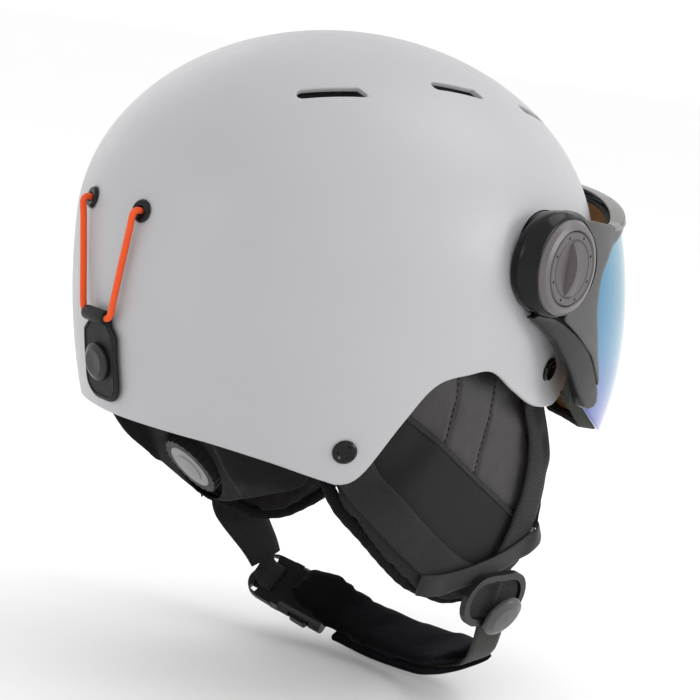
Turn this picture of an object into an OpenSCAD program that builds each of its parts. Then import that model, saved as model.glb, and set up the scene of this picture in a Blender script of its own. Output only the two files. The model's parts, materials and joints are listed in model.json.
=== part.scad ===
// Ski helmet with a lifting visor, ear flaps, chin strap and dial fit.
// Origin: head centre on the ear line. +Z up, -Y front, +X the wearer's left.

/* [Shell] */
// Width of the shell over the ears
shell_w = 220; // [210:1:234]
// Length of the shell from brow to nape
shell_l = 258; // [248:1:272]
// Height of the crown above the widest line
crown_h = 98; // [92:1:104]
// Wall of the shell
shell_t = 2.2; // [1.8:0.1:3]
// Height of the brow edge
brow_z = 66; // [62:1:70]
// Height of the top of the ear cut
ear_z = 20.5; // [17:0.5:23]
// Height of the lowest point of the cheek
cheek_z = -35; // [-38:1:-32]
// Height of the edge under the temple
temple_z = 0; // [-3:1:2]
// Height of the edge at the nape
nape_z = -22; // [-25:1:-19]
// Thickness of the foam liner
liner_t = 22; // [18:1:24]
// Thickness of the comfort pads
pad_t = 6; // [4:0.5:8]

/* [Vents] */
// Width of a vent slot
vent_w = 5.6; // [4:0.2:7]
// Length of the longest vent slot on each side
vent_l = 32; // [26:1:34]

/* [Visor] */
// How far the lens stands in front of the shell
visor_reach = 33; // [29:1:37]
// Clearance of the visor arms beside the shell
arm_gap = 2.5; // [2:0.5:4]
// Height of the rim at the middle of the brow
rim_z = 98; // [94:1:101]
// Height of the lowest point of the lens
lens_low_z = -20; // [-24:1:-16]
// Thickness of the outer lens
lens_t = 2; // [1.6:0.1:2.6]
// Thickness of the visor frame
frame_t = 2.4; // [2:0.1:3]
// Depth of the lip along the top of the frame
lip_w = 5.5; // [4:0.5:7]

/* [Pivot] */
// Distance of the visor pivot in front of the head centre
pivot_front = 27; // [23:1:31]
// Height of the visor pivot
pivot_z = 69; // [66:1:72]
// Diameter of the pivot post
post_d = 12; // [10:0.5:14]
// Radial running clearance of every pin in its bore
run_gap = 0.05; // [0.02:0.01:0.09]
// Diameter of the friction knob with its bezel
knob_d = 43; // [40:1:46]
// Turn of the knob face toward the front, in degrees
knob_cant = 12; // [8:1:14]

/* [Goggle strap holder] */
// Distance of each eyelet from the middle
eyelet_x = 19.5; // [17:0.5:24]
// Height of the eyelets
eyelet_z = 71; // [66:1:76]
// Outer diameter of an eyelet
eyelet_d = 10.5; // [9:0.5:12]
// Diameter of the elastic cord
cord_d = 3; // [2.4:0.2:3.4]
// Width of the tab
tab_w = 25; // [22:1:28]
// Height of the tab's hinge fold
tab_top_z = 22; // [20:1:26]
// Height of the tab's rounded end
tab_low_z = -16; // [-18:1:-13]
// Diameter of the snap cap
snap_d = 17; // [14:1:19]

/* [Ear flaps and straps] */
// Thickness of an ear flap
flap_t = 11; // [9:0.5:13]
// Width of the webbing
webbing_w = 19; // [16:1:21]
// Thickness of the webbing
webbing_t = 1.4; // [1:0.1:1.8]
// Diameter of a strap rivet's head
rivet_d = 11; // [9:0.5:12]

/* [Fit dial] */
// Diameter of the fit dial
dial_d = 33; // [30:1:36]
// Height of the dial above its housing
dial_h = 8.5; // [7:0.5:10]
// Angle of the dial's axis below level, in degrees
dial_tilt = 42; // [38:1:46]
// Teeth on the pinion
pinion_teeth = 10; // [9:1:12]
// Pitch radius of the pinion
pinion_r = 5; // [4.5:0.1:5.5]
// Radius of the rack bands round the head
band_r = 92; // [88:1:96]

/* [Chin strap] */
// Width of the padded chin sleeve
sleeve_w = 32; // [28:1:36]
// Thickness of the padded chin sleeve
sleeve_t = 11; // [9:0.5:13]
// Width of the buckle
buckle_w = 30; // [28:1:34]
// Length of the buckle's socket
socket_l = 26; // [24:1:30]

/* [Hidden] */

shell_grey = "#c9c9cb";
foam_black = "#232325";
satin_grey = "#4a484a";
gloss_black = "#141416";
soft_black = "#1b1b1c";
web_black = "#26262a";
cord_orange = "#e4522a";

// Sizes of the shell that follow from the driving ones
half_w = shell_w/2;
half_l = shell_l/2;
shell_cy = 5;
eq_z = 60;
skirt_h = 197;
seat_gap = 0.3;
through = 60;

// Height scale of the egg below or above its widest line
function egg_h(up, off) = (up ? crown_h : skirt_h) - off;
// Latitude at which a meridian passes a height
function latitude(z, off) = asin(max(-0.98, min(0.98, (z-eq_z)/egg_h(z > eq_z, off))));
// Point of the shell at an azimuth from the front, a latitude and a depth below it
function egg(az, lat, off) = [
  (half_w-off)*cos(lat)*sin(az),
  shell_cy - (half_l-off)*cos(lat)*cos(az),
  eq_z + egg_h(lat > 0, off)*sin(lat)];
// Outward normal of the shell there
function egg_dir(az, lat) = let(p = egg(az, lat, 0))
  unit([p.x/pow(half_w,2), (p.y-shell_cy)/pow(half_l,2), (p.z-eq_z)/pow(egg_h(lat > 0, 0),2)]);
// Half width of the shell at a place seen from the side
function shell_x(y, z, off) = (half_w-off)*sqrt(max(0.01,
  1 - pow((y-shell_cy)/(half_l-off),2) - pow((z-eq_z)/egg_h(z > eq_z, off),2)));
// Distance of the shell behind the head centre at a place seen from behind
function shell_y(x, z, off) = shell_cy + (half_l-off)*sqrt(max(0.01,
  1 - pow(x/(half_w-off),2) - pow((z-eq_z)/egg_h(z > eq_z, off),2)));
// Azimuth of a place seen from the side
function side_az(y, z) = acos(-(y-shell_cy)/half_l/cos(latitude(z, 0)));

function unit(v) = v/norm(v);
function lerp(a, b, t) = a + (b-a)*t;
function clamp(t) = max(0, min(1, t));
// Smooth curve through a list of points, t running from 0 to 1
function spline(keys, t) = let(
    n = len(keys)-1, s = min(n-0.000001, max(0, t*n)), i = floor(s), f = s-i,
    p = keys[max(0,i-1)], q = keys[i], r = keys[i+1], e = keys[min(n,i+2)])
  0.5*(2*q + (r-p)*f + (2*p-5*q+4*r-e)*f*f + (3*q-p-3*r+e)*f*f*f);
// Arc that rounds one corner of an outline
function corner(a, b, c, r) = r <= 0 ? [b] : let(
    u = unit(a-b), v = unit(c-b), half = acos(max(-1, min(1, u*v)))/2,
    o = b + unit(u+v)*r/sin(half), s = b + u*r/tan(half) - o,
    turn = 180-2*half, way = u.x*v.y-u.y*v.x > 0 ? -1 : 1, n = max(2, ceil(turn/15)))
  [for (i = [0:n]) let(w = way*turn*i/n) o + [s.x*cos(w)-s.y*sin(w), s.x*sin(w)+s.y*cos(w)]];
// Outline with rounded corners, from points that hold x, y and a radius
function rounded(p) = let(n = len(p)) [for (i = [0:n-1]) each
  corner([p[(i+n-1)%n].x, p[(i+n-1)%n].y], [p[i].x, p[i].y],
    [p[(i+1)%n].x, p[(i+1)%n].y], p[i].z)];

// Solid through a row of rings that hold the same number of points each
module skin(rings, flip = false) {
  n = len(rings[0]);
  m = len(rings);
  walls = [for (j = [0:m-2]) for (i = [0:n-1]) let(
      a = j*n+i, b = j*n+(i+1)%n, c = a+n, d = b+n) each [[a,b,d], [a,d,c]]];
  start = [for (i = [0:n/2-2]) each [[i+1,i,n-1-i], [i+1,n-1-i,n-2-i]]];
  k = (m-1)*n;
  end = [for (i = [0:n/2-2]) each
    [[k+i,k+i+1,k+n-1-i], [k+i+1,k+n-2-i,k+n-1-i]]];
  faces = concat(walls, start, end);
  polyhedron([for (r = rings) each r],
    flip ? [for (f = faces) [f[2],f[1],f[0]]] : faces);
}

// Mirrors a piece to the wearer's right for a side of -1
module on_side(side) {
  mirror([side < 0 ? 1 : 0, 0, 0]) children();
}

// Stands a piece on the shell, its z axis pointing straight out
module on_shell(az, lat, off) {
  d = egg_dir(az, lat);
  translate(egg(az, lat, off)) rotate([0, 90-asin(d.z), atan2(d.y, d.x)]) children();
}

// Extrudes an outline drawn in side view (y, z) across the whole helmet
module side_cut(w = 2*through+shell_w) {
  rotate([90,0,90]) translate([0,0,-w/2]) linear_extrude(w) children();
}

// Edge of the shell from nape to brow as azimuth and height
rim_keys = [[180,nape_z], [169,nape_z], [158,nape_z-0.6], [147,nape_z-2], [134,nape_z-6], [122,cheek_z+1.5],
  [117,cheek_z], [112.5,cheek_z+6], [106,cheek_z+30], [100,ear_z-7.5],
  [92,ear_z-2], [86,ear_z-1], [78,ear_z-10], [68,temple_z+2], [56,temple_z-1],
  [48,temple_z+1.5], [44,temple_z+9], [41,temple_z+26], [36,brow_z-20],
  [28,brow_z-6], [19,brow_z-1], [9.5,brow_z], [0,brow_z]];
rim_steps = 34;
half_rim = [for (i = [0:rim_steps]) spline(rim_keys, i/rim_steps)];
shell_rim = concat(half_rim, [for (i = [rim_steps-1:-1:1]) [360-half_rim[i][0], half_rim[i][1]]]);

// Domed wall between two depths below the shell, open along a rim
module dome(rim, off_out, off_in, rows) {
  m = len(rim);
  function row(off, t) = [for (k = rim) let(b = latitude(k[1], off)) egg(k[0], b+(90-b)*t, off)];
  points = concat(
    [for (i = [0:rows-1]) each row(off_out, i/rows)], [egg(0, 90, off_out)],
    [for (i = [0:rows-1]) each row(off_in, i/rows)], [egg(0, 90, off_in)]);
  top = rows*m;
  inner = top+1;
  outer_faces = concat(
    [for (i = [0:rows-2]) for (j = [0:m-1]) let(a = i*m+j, b = i*m+(j+1)%m)
      each [[a,b,b+m], [a,b+m,a+m]]],
    [for (j = [0:m-1]) [(rows-1)*m+j, (rows-1)*m+(j+1)%m, top]]);
  inner_faces = concat(
    [for (i = [0:rows-2]) for (j = [0:m-1]) let(a = inner+i*m+j, b = inner+i*m+(j+1)%m)
      each [[b,a,b+m], [b+m,a,a+m]]],
    [for (j = [0:m-1]) [inner+(rows-1)*m+(j+1)%m, inner+(rows-1)*m+j, inner+top]]);
  edge = [for (j = [0:m-1]) let(a = j, b = (j+1)%m)
    each [[b,a,inner+a], [b,inner+a,inner+b]]];
  polyhedron(points, concat(outer_faces, inner_faces, edge));
}

// Places of the vents: azimuth, latitude, turn about the normal and length
vents = [[133, 47, -14, vent_l], [88, 54, 8, vent_l-3], [47, 47, 19, vent_l-2]];
module vent_outline(grow, len) {
  w = vent_w/2+grow;
  l = len/2+grow;
  polygon(rounded([[-w,-l+w*1.6,0.5], [w,-l,1], [w,l,w-0.2], [-w,l,w-0.2]]));
}
module vent_cuts(grow, depth) {
  for (side = [1,-1]) on_side(side) for (v = vents)
    on_shell(v[0], v[1], 0) rotate([0,0,v[2]]) translate([0,0,-depth])
      linear_extrude(depth+10) vent_outline(grow, v[3]);
}

pivot_y = -pivot_front;
arm_x = half_w + arm_gap;
base_flange_r = knob_d/2 + 1.3;
base_x = half_w - 12;
boss_r = post_d/2 + 3.5;
base_low = arm_x - 7;
bracket_t = 2.5;
bracket_x = arm_x - bracket_t - 0.1;
rear_rivet = [60, -19];
temple_rivet = [-47, 19];
stud_z = 2;

// Runs a cylinder along the visor axis from one depth to another
module pivot_cyl(r, x0, x1) {
  translate([x0, pivot_y, pivot_z]) rotate([0,90,0]) cylinder(r = r, h = x1-x0, $fn = 64);
}

module outer_shell() {
  color(shell_grey) difference() {
    dome(shell_rim, 0, shell_t, 11);
    vent_cuts(0, 12);
    for (side = [1,-1]) on_side(side) {
      pivot_cyl(base_flange_r+seat_gap, 80, 130);
      on_shell(180-asin(eyelet_x/half_w), latitude(eyelet_z, 0), 0)
        translate([0,0,-9]) cylinder(r = eyelet_body_r+0.1, h = 18, $fn = 48);
      for (r = [rear_rivet, temple_rivet]) on_shell(side_az(r.x, r.y), latitude(r.y, 0), 0)
        translate([0,0,-9]) cylinder(r = rivet_shank_r+0.1, h = 18, $fn = 32);
    }
    on_shell(180, latitude(stud_z, 0), 0) translate([0,0,-9]) cylinder(r = stud_r+0.1, h = 18, $fn = 32);
  }
}

// The liner stops short of the shell's edge, and higher still behind the ears and nape
function liner_edge(k) = [k[0], max(k[1]+4, lerp(k[1]+4, ear_z+4, clamp((k[0]-49)/6)*clamp((150-k[0])/25)
  + 0.9*clamp((k[0]-125)/25) - 0.35*clamp((k[0]-125)/25)))];
liner_half = [for (k = half_rim) liner_edge(k)];
liner_rim = concat(liner_half, [for (i = [rim_steps-1:-1:1]) [360-liner_half[i][0], liner_half[i][1]]]);
liner_out = shell_t + 0.8;
liner_in = liner_out + liner_t;

module eps_liner() {
  color(foam_black) difference() {
    dome(liner_rim, liner_out, liner_in, 9);
    vent_cuts(1.4, shell_t+4.5);
    vent_cuts(-0.6, liner_in+8);
    for (side = [1,-1]) on_side(side) {
      pivot_cyl(base_flange_r+0.6, base_x-0.6, 130);
      on_shell(180-asin(eyelet_x/half_w), latitude(eyelet_z, 0), 0)
        translate([0,0,-14]) cylinder(r = eyelet_d/2+1.5, h = 18, $fn = 32);
      on_shell(side_az(temple_rivet.x, temple_rivet.y), latitude(temple_rivet.y, 0), 0)
        translate([0,0,-12]) cylinder(r = 9, h = 14, $fn = 32);
    }
    on_shell(180, latitude(stud_z, 0), 0) translate([0,0,-8]) cylinder(r = 7, h = 12, $fn = 32);
  }
}

// Slotted screens that lie in pockets of the liner under each vent
module vent_mesh() {
  color(gloss_black) for (side = [1,-1]) on_side(side) for (v = vents)
    on_shell(v[0], v[1], 0) rotate([0,0,v[2]]) translate([0,0,-shell_t-3.4])
      linear_extrude(1.2) difference() {
        vent_outline(1.1, v[3]);
        for (k = [-4:4]) if (abs(k)*2.6 < v[3]/2-3)
          translate([-vent_w/2+0.6, k*2.6-0.7]) square([vent_w-1.2, 1.4]);
      }
}

// Curved pad inside the liner between two azimuths and two latitudes, with a soft crown
module liner_pad(az0, az1, lat0, lat1, cols, rows, channels) {
  base = liner_in + 1.1;
  function puff(u, v) = 1 + (pad_t-1)*pow(max(0, 1-pow(2*u-1, 6)), 0.5)*pow(max(0, 1-pow(2*v-1, 4)), 0.5)
    *(1 - 0.35*(channels > 0 ? pow(abs(cos(180*u*channels)), 14) : 0));
  skin([for (i = [0:cols]) let(u = i/cols, az = lerp(az0, az1, u)) concat(
    [for (j = [0:rows]) egg(az, lerp(lat0, lat1, j/rows), base)],
    [for (j = [rows:-1:0]) egg(az, lerp(lat0, lat1, j/rows), base+puff(u, j/rows))])]);
}
module brow_pad() {
  color(soft_black) liner_pad(-52, 52, 12, 34, 24, 6, 4);
}
module crown_pad() {
  color(soft_black) for (az = [-58, 0, 58]) liner_pad(az+158, az+202, 30, 74, 8, 8, 0);
}

// Plan of the visor at a height: a rounded curve from pivot to pivot
visor_front = visor_reach + half_l - shell_cy - pivot_front;
belly_z = 20;
plan_power = 2/1.85;
function visor_sag(z) = z > belly_z ? 0.00507*pow(z-belly_z, 2) : 0.008*pow(z-belly_z, 2);
function visor_pt(a, z, off) = abs(a) >= 90
  ? [(arm_x+off)*sign(a), pivot_y+abs(a)-90, z]
  : [(arm_x+off)*sign(a)*pow(abs(sin(a)), plan_power),
    pivot_y - (visor_front-visor_sag(z)+off)*pow(cos(a), plan_power), z];
function front_of(z) = pivot_y - visor_front + visor_sag(z);

arm_ring_r = knob_d/2 + 3.5;
arm_end = 30;
rim_side_z = rim_z - 11;

// Side view of the frame: a band over the lens and an arm round each knob
module frame_outline() {
  f = front_of(rim_z);
  difference() {
    union() {
      polygon(rounded([
        [f-20, rim_z-10, 0], [f+4, rim_z-10, 20], [pivot_y-58, rim_z-13, 14],
        [pivot_y-36.5, pivot_z-1, 22], [pivot_y-35, pivot_z-20, 22],
        [pivot_y-50, pivot_z-55, 12], [pivot_y-54, pivot_z-62, 0.6],
        [pivot_y-49, pivot_z-56, 10], [pivot_y-22, pivot_z-31, 18],
        [pivot_y-8, pivot_z-23, 2], [pivot_y-2, pivot_z+arm_ring_r-3, 8],
        [pivot_y-22, rim_side_z+2.5, 10], [pivot_y-43, rim_side_z, 8],
        [pivot_y-56, rim_side_z+10, 4], [f-20, rim_z+12, 0]]));
      translate([pivot_y, pivot_z]) intersection() {
        circle(r = arm_ring_r, $fn = 72);
        polygon([[0,0], [-60,-60], [-60,60], [26,60]]);
      }
    }
    translate([pivot_y, pivot_z]) circle(r = knob_d/2+0.8, $fn = 72);
  }
}

// Height of the rim of the frame at an angle round the plan
function rim_at(a) = lerp(rim_z, rim_side_z, clamp(pow(abs(a)/58, 2.2)));
// Wall with an inward lip along its upper edge, as one ring of points at each angle
frame_span = 90 + arm_end;
frame_gap = 0.4;
function frame_ring(a, rows) = let(
    z1 = rim_at(a) + (abs(a) > 62 ? min(14, (abs(a)-62)*0.9) : 0), z0 = lens_low_z+18,
    w = lip_w*sqrt(max(0.003, 1-pow(a/66, 6)))) concat(
  [for (j = [0:rows]) visor_pt(a, lerp(z0, z1, j/rows), frame_gap+frame_t)],
  [visor_pt(a, z1+0.6, frame_gap-w), visor_pt(a, z1+0.6-2, frame_gap-w)],
  [for (j = [rows:-1:0]) visor_pt(a, lerp(z0, z1-2, j/rows), frame_gap)]);
module visor_frame() {
  color(satin_grey) intersection() {
    skin([for (i = [0:60]) frame_ring(lerp(-frame_span, frame_span, i/60), 6)]);
    side_cut() frame_outline();
  }
}

lens_angle = 74;
nose_half = 24;
nose_rise = 13;
// Lower edge of the lens with the arch over the nose
function lens_low(a) = let(x = visor_pt(a, 0, 0).x) lens_low_z + 28*pow(abs(a)/lens_angle, 4)
  + (abs(x) < nose_half ? nose_rise*pow(cos(90*x/nose_half), 2) : 0);
function lens_top(a) = rim_at(a) - 3.4;
module lens_sheet(angle, cols, rows, low, high, off_in, off_out) {
  function height(a, v) = lerp(lens_low(a)+low, lens_top(a)-high, v);
  skin([for (i = [0:cols]) let(a = lerp(-angle, angle, i/cols)) concat(
    [for (j = [0:rows]) visor_pt(a, height(a, j/rows), off_out)],
    [for (j = [rows:-1:0]) visor_pt(a, height(a, j/rows), off_in)])]);
}
module visor_lens() {
  color("#4f9fd0") lens_sheet(lens_angle, 44, 8, 0, 0, -lens_t, 0);
}
spacer_t = 2.6;
module inner_lens() {
  color("#c98a4a") lens_sheet(lens_angle-3, 32, 6, 3, 2.5,
    -lens_t-spacer_t-1.2, -lens_t-spacer_t);
}
// Foam seal between the two lenses and the face, along the lower and side edges
module visor_gasket() {
  color(soft_black) {
    skin([for (i = [0:40]) let(a = lerp(-lens_angle+1, lens_angle-1, i/40), z = lens_low(a)) [
      visor_pt(a, z+0.4, -lens_t-0.3), visor_pt(a, z+2.6, -lens_t-0.3),
      visor_pt(a, z+2.6, -lens_t-9), visor_pt(a, z+0.4, -lens_t-9)]]);
    skin([for (i = [0:32]) let(a = lerp(-lens_angle+4, lens_angle-4, i/32), z = lens_top(a)) [
      visor_pt(a, z-2.2, -lens_t-0.3), visor_pt(a, z, -lens_t-0.3),
      visor_pt(a, z, -lens_t-5), visor_pt(a, z-2.2, -lens_t-5)]]);
  }
}

// Black ring behind each knob with the tail that runs down inside the arm
module arm_strip(z, off_in, off_out, a0) {
  linear_extrude(pivot_z+40) polygon(concat(
    [for (a = [a0:(120-a0)/18:120]) let(p = visor_pt(a, z, off_out)) [p.x, p.y]],
    [for (a = [120:-(120-a0)/18:a0]) let(p = visor_pt(a, z, off_in)) [p.x, p.y]]));
}
module tail_outline() {
  difference() {
    polygon(rounded([
      [pivot_y+6, pivot_z-24, 0], [pivot_y-1, pivot_z-28, 8],
      [pivot_y-22, pivot_z-48, 20], [pivot_y-40, pivot_z-62, 12],
      [pivot_y-45.5, pivot_z-68, 2], [pivot_y-55, pivot_z-66.5, 1],
      [pivot_y-53.2, pivot_z-63.5, 1], [pivot_y-48.2, pivot_z-56.8, 10],
      [pivot_y-21.6, pivot_z-31.6, 18], [pivot_y-7.6, pivot_z-23.6, 2], [pivot_y+6, pivot_z-20, 0]]));
    translate([pivot_y, pivot_z]) circle(r = arm_ring_r+0.4, $fn = 72);
  }
}
module visor_bracket() {
  color(gloss_black) difference() {
    union() {
      intersection() {
        arm_strip(pivot_z+16, -bracket_t-0.1, -0.1, 74);
        side_cut() translate([pivot_y, pivot_z]) circle(r = arm_ring_r+0.8, $fn = 72);
      }
      intersection() {
        arm_strip(belly_z, -bracket_t-0.1, frame_t, 77);
        side_cut() tail_outline();
      }
      intersection() {
        arm_strip(belly_z, frame_gap, frame_t, 50);
        side_cut() tail_outline();
      }
      pivot_cyl(boss_r, bracket_x, bracket_x+bracket_t-0.6);
    }
    pivot_cyl(post_d/2+run_gap, 80, 130);
  }
}

// Fixed base that fills the shell's opening and carries the pivot post
post_end = arm_x + 0.05;
head_t = 1.4;
head_r = post_d/2 + 1.5;
module pivot_base() {
  color(gloss_black) difference() {
    union() {
      pivot_cyl(base_flange_r, base_x, base_low);
      pivot_cyl(boss_r, base_x, bracket_x-0.8);
      pivot_cyl(post_d/2, bracket_x-2, post_end);
    }
    pivot_cyl(2.6, 80, 130);
    pivot_cyl(4.8, 80, base_x+4.4);
  }
}
// Bolt through each pivot base: its wide head keeps the visor arm on the post
module pivot_bolts() {
  color("#8d9094") for (side = [1,-1]) on_side(side) {
    pivot_cyl(2.5, base_x+0.4, post_end+0.5);
    pivot_cyl(4.6, base_x+0.6, base_x+4.3);
    pivot_cyl(head_r, post_end+0.05, post_end+head_t);
  }
}

// Places a knob piece on its canted axis, z pointing out
module on_knob() {
  translate([arm_x, pivot_y, pivot_z]) rotate([0,90,-knob_cant]) children();
}
knob_r = knob_d/2 - 4.8;
bezel_base = 3.2;
bezel_top = 8.4;
stem_r = 3.6;
module knob_bezel() {
  color(satin_grey) difference() {
    on_knob() rotate_extrude($fn = 96) polygon([
      [stem_r+run_gap, bezel_base+1.2], [knob_r+0.3, bezel_base+1.2], [knob_r+0.3, bezel_top-0.6],
      [knob_r+0.9, bezel_top], [knob_d/2-1.6, bezel_top-0.7], [knob_d/2, bezel_top-2.6],
      [knob_d/2, -2], [stem_r+run_gap, -2]]);
    pivot_cyl(head_r+0.4, 80, post_end+head_t+0.3);
    pivot_cyl(knob_d, 80, bracket_x+bracket_t+0.05);
  }
}
module knob() {
  color(satin_grey) on_knob() difference() {
    union() {
      rotate_extrude($fn = 96) polygon([[0, bezel_base+1.5], [knob_r, bezel_base+1.5],
        [knob_r, bezel_top-0.7], [knob_r-0.6, bezel_top-0.1], [knob_r-3.4, bezel_top-0.1],
        [knob_r-3.8, bezel_top-0.5], [knob_r-4.2, bezel_top-0.1], [0, bezel_top-0.1]]);
      translate([0,0,bezel_base-0.4]) cylinder(r = stem_r, h = 2.2, $fn = 48);
      intersection() {
        rotate([0,0,90]) rotate([90,0,0]) linear_extrude(2*knob_r, center = true)
          polygon(rounded([[-3.6,bezel_top-0.6,0], [3.6,bezel_top-0.6,0], [1.4,bezel_top+4.4,1.2],
            [-1.4,bezel_top+4.4,1.2]]));
        translate([0,0,bezel_top-22]) sphere(r = 25.5, $fn = 96);
        cylinder(r = knob_r-4.6, h = 30, $fn = 64);
      }
    }
    for (k = [0:7]) rotate([0,0,22.5+45*k]) translate([knob_r-2, 0, bezel_top-0.5])
      cylinder(r = 0.7, h = 2, $fn = 16);
  }
}

eyelet_body_r = eyelet_d/2 - 1.6;
module eyelets() {
  color(gloss_black) for (side = [1,-1]) on_side(side)
    on_shell(180-asin(eyelet_x/half_w), latitude(eyelet_z, 0), 0)
      rotate_extrude($fn = 48) polygon(rounded([
        [cord_d/2+0.6, -shell_t-2.4, 0.4], [eyelet_d/2-0.3, -shell_t-2.4, 0.3],
        [eyelet_d/2-0.3, -shell_t-1.3, 0], [eyelet_body_r, -shell_t-1.3, 0],
        [eyelet_body_r, 0.3, 0], [eyelet_d/2, 0.3, 0.2], [eyelet_d/2-0.8, 1.8, 0.8],
        [cord_d/2+0.6, 1.8, 0.6]]));
}

// The elastic leaves each eyelet, runs down to the fold of the tab and loops through it
fold_r = cord_d/2 + 2;
fold_y = shell_y(0, tab_top_z, 0) + fold_r + seat_gap;
cord_half = [[17.4,121.5,69.5], [18.4,126.5,70.3], [19.6,132.2,71.1], [20,134.3,71.3], [20,135.8,70.3],
  [19.6,136.2,68], [18.8,136,64], [17.2,135.9,56], [15.4,135.8,47], [13.7,135.7,38], [12.3,135.6,30.5],
  [11.6,135.5,26.5], [10.4,135.4,23.2], [8,135.4,22], [3,135.4,22]];
cord_pts = concat([for (p = cord_half) [-p.x,p.y,p.z]], [for (i = [len(cord_half)-1:-1:0]) cord_half[i]]);
// Round tube swept along points
module tube(p, r, sides) {
  n = len(p);
  dir = [for (i = [0:n-1]) unit(p[min(n-1,i+1)]-p[max(0,i-1)])];
  function side_of(i) = unit(cross(dir[i], abs(dir[i].y) > 0.9 ? [0,0,1] : [0,1,0]));
  rings = [for (i = [0:n-1]) let(u = side_of(i), v = cross(dir[i], u))
    [for (k = [0:sides-1]) p[i] + r*(cos(360*k/sides)*u + sin(360*k/sides)*v)]];
  skin(rings, flip = true);
}
module elastic_cord() {
  color(cord_orange) tube(cord_pts, cord_d/2, 8);
}

// Tab folded over the elastic, curved to the shell, with the snap near its lower end
tab_t = 2.6;
fold_half = tab_w/2 - 4.5;
function tab_line(off) = [for (i = [0:8]) let(z = lerp(tab_top_z, tab_low_z, i/8))
  [shell_y(0, z, 0)+off, z]];
module goggle_tab() {
  color(soft_black) difference() {
    union() {
      intersection() {
        side_cut(tab_w) polygon(concat(tab_line(0.6), [for (i = [8:-1:0]) tab_line(0.6+tab_t)[i]]));
        rotate([90,0,0]) translate([0,0,-160]) linear_extrude(60) polygon(rounded([
          [-fold_half, tab_top_z+6, 0], [-fold_half, tab_top_z-2.5, 1], [-tab_w/2, tab_top_z-7, 2],
          [-tab_w/2, tab_low_z, 9], [tab_w/2, tab_low_z, 9], [tab_w/2, tab_top_z-7, 2],
          [fold_half, tab_top_z-2.5, 1], [fold_half, tab_top_z+6, 0]]));
      }
      translate([-fold_half, fold_y, tab_top_z]) rotate([0,90,0]) cylinder(r = fold_r-0.3, h = 2*fold_half, $fn = 48);
    }
    translate([-tab_w, fold_y, tab_top_z]) rotate([0,90,0]) cylinder(r = cord_d/2+0.4, h = 2*tab_w, $fn = 32);
    on_shell(180, latitude(stud_z, 0), 0) cylinder(r = stud_r+1.2, h = 12, $fn = 32);
  }
}
stud_r = 3;
module snap_cap() {
  color(gloss_black) on_shell(180, latitude(stud_z, 0), 0) rotate_extrude($fn = 64) polygon(rounded([
    [0, tab_t+0.9, 0], [stud_r+1.1, tab_t+0.9, 0], [stud_r+1.1, tab_t+0.65, 0], [snap_d/2, tab_t+0.75, 0.1],
    [snap_d/2, tab_t+2.4, 1.2], [snap_d/2-2.6, tab_t+3.6, 1], [0, tab_t+3.3, 0]]));
}
module snap_stud() {
  color("#8d9094") on_shell(180, latitude(stud_z, 0), 0) rotate_extrude($fn = 48) polygon([
    [0, -shell_t-2.2], [stud_r+2.2, -shell_t-2.2], [stud_r+2.2, -shell_t-0.9], [stud_r, -shell_t-0.9],
    [stud_r, 2.4], [stud_r-0.7, 3.2], [0, 3.2]]);
}

rivet_shank_r = 2.4;
module strap_rivets() {
  color(gloss_black) for (side = [1,-1]) on_side(side) for (r = [rear_rivet, temple_rivet])
    on_shell(side_az(r.x, r.y), latitude(r.y, 0), 0) rotate_extrude($fn = 48) polygon([
      [0, -shell_t-4], [rivet_shank_r+1.6, -shell_t-4], [rivet_shank_r+1.6, -shell_t-2.8],
      [rivet_shank_r, -shell_t-2.8], [rivet_shank_r, 0.1], [rivet_d/2, 0.1], [rivet_d/2, 0.9],
      [rivet_d/2-0.8, 1.5], [rivet_d/2-1.8, 1.3], [rivet_d/2-2.6, 0.6], [0, 0.4]]);
}

// Outer face of the ear flap as a distance from the middle
function flap_limit(y, z) = shell_x(y, max(z, cheek_z), shell_t) - 6.4
  + 0.6*max(0, lerp(2, -30, clamp(y/30)) - z);
function flap_x(y, z) = min(half_w - 13 - (y < 10 ? 0.0014 : 0.0062)*pow(y-10, 2)
  - (z < 0 ? 0.0014*z*z : 0), flap_limit(y, z));
// Rows of the flap from top to bottom: height, rear edge, front edge
flap_keys = [[22,14,-24], [10,34,-46], [-4,47,-60], [-20,54,-69], [-34,57,-74], [-48,50,-77],
  [-62,35,-79.5], [-75,20,-77], [-86,4,-68], [-93,-14,-54], [-97,-26,-42]];
quilt_lines = [[[17,14], [-34,-46], 2.2], [[-21,18], [-33,-44], 2.2], [[29,-4], [-47,-51], 2.8]];
// Depth of the sewn lines at a place on the flap
function line_dip(p, a, b, depth) = let(t = clamp((p-a)*(b-a)/pow(norm(b-a),2)))
  depth*exp(-pow(norm(p-a-t*(b-a))/4.2, 2));
function quilt(p) = max([for (q = quilt_lines) line_dip(p, q[0], q[1], q[2])]);
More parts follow.
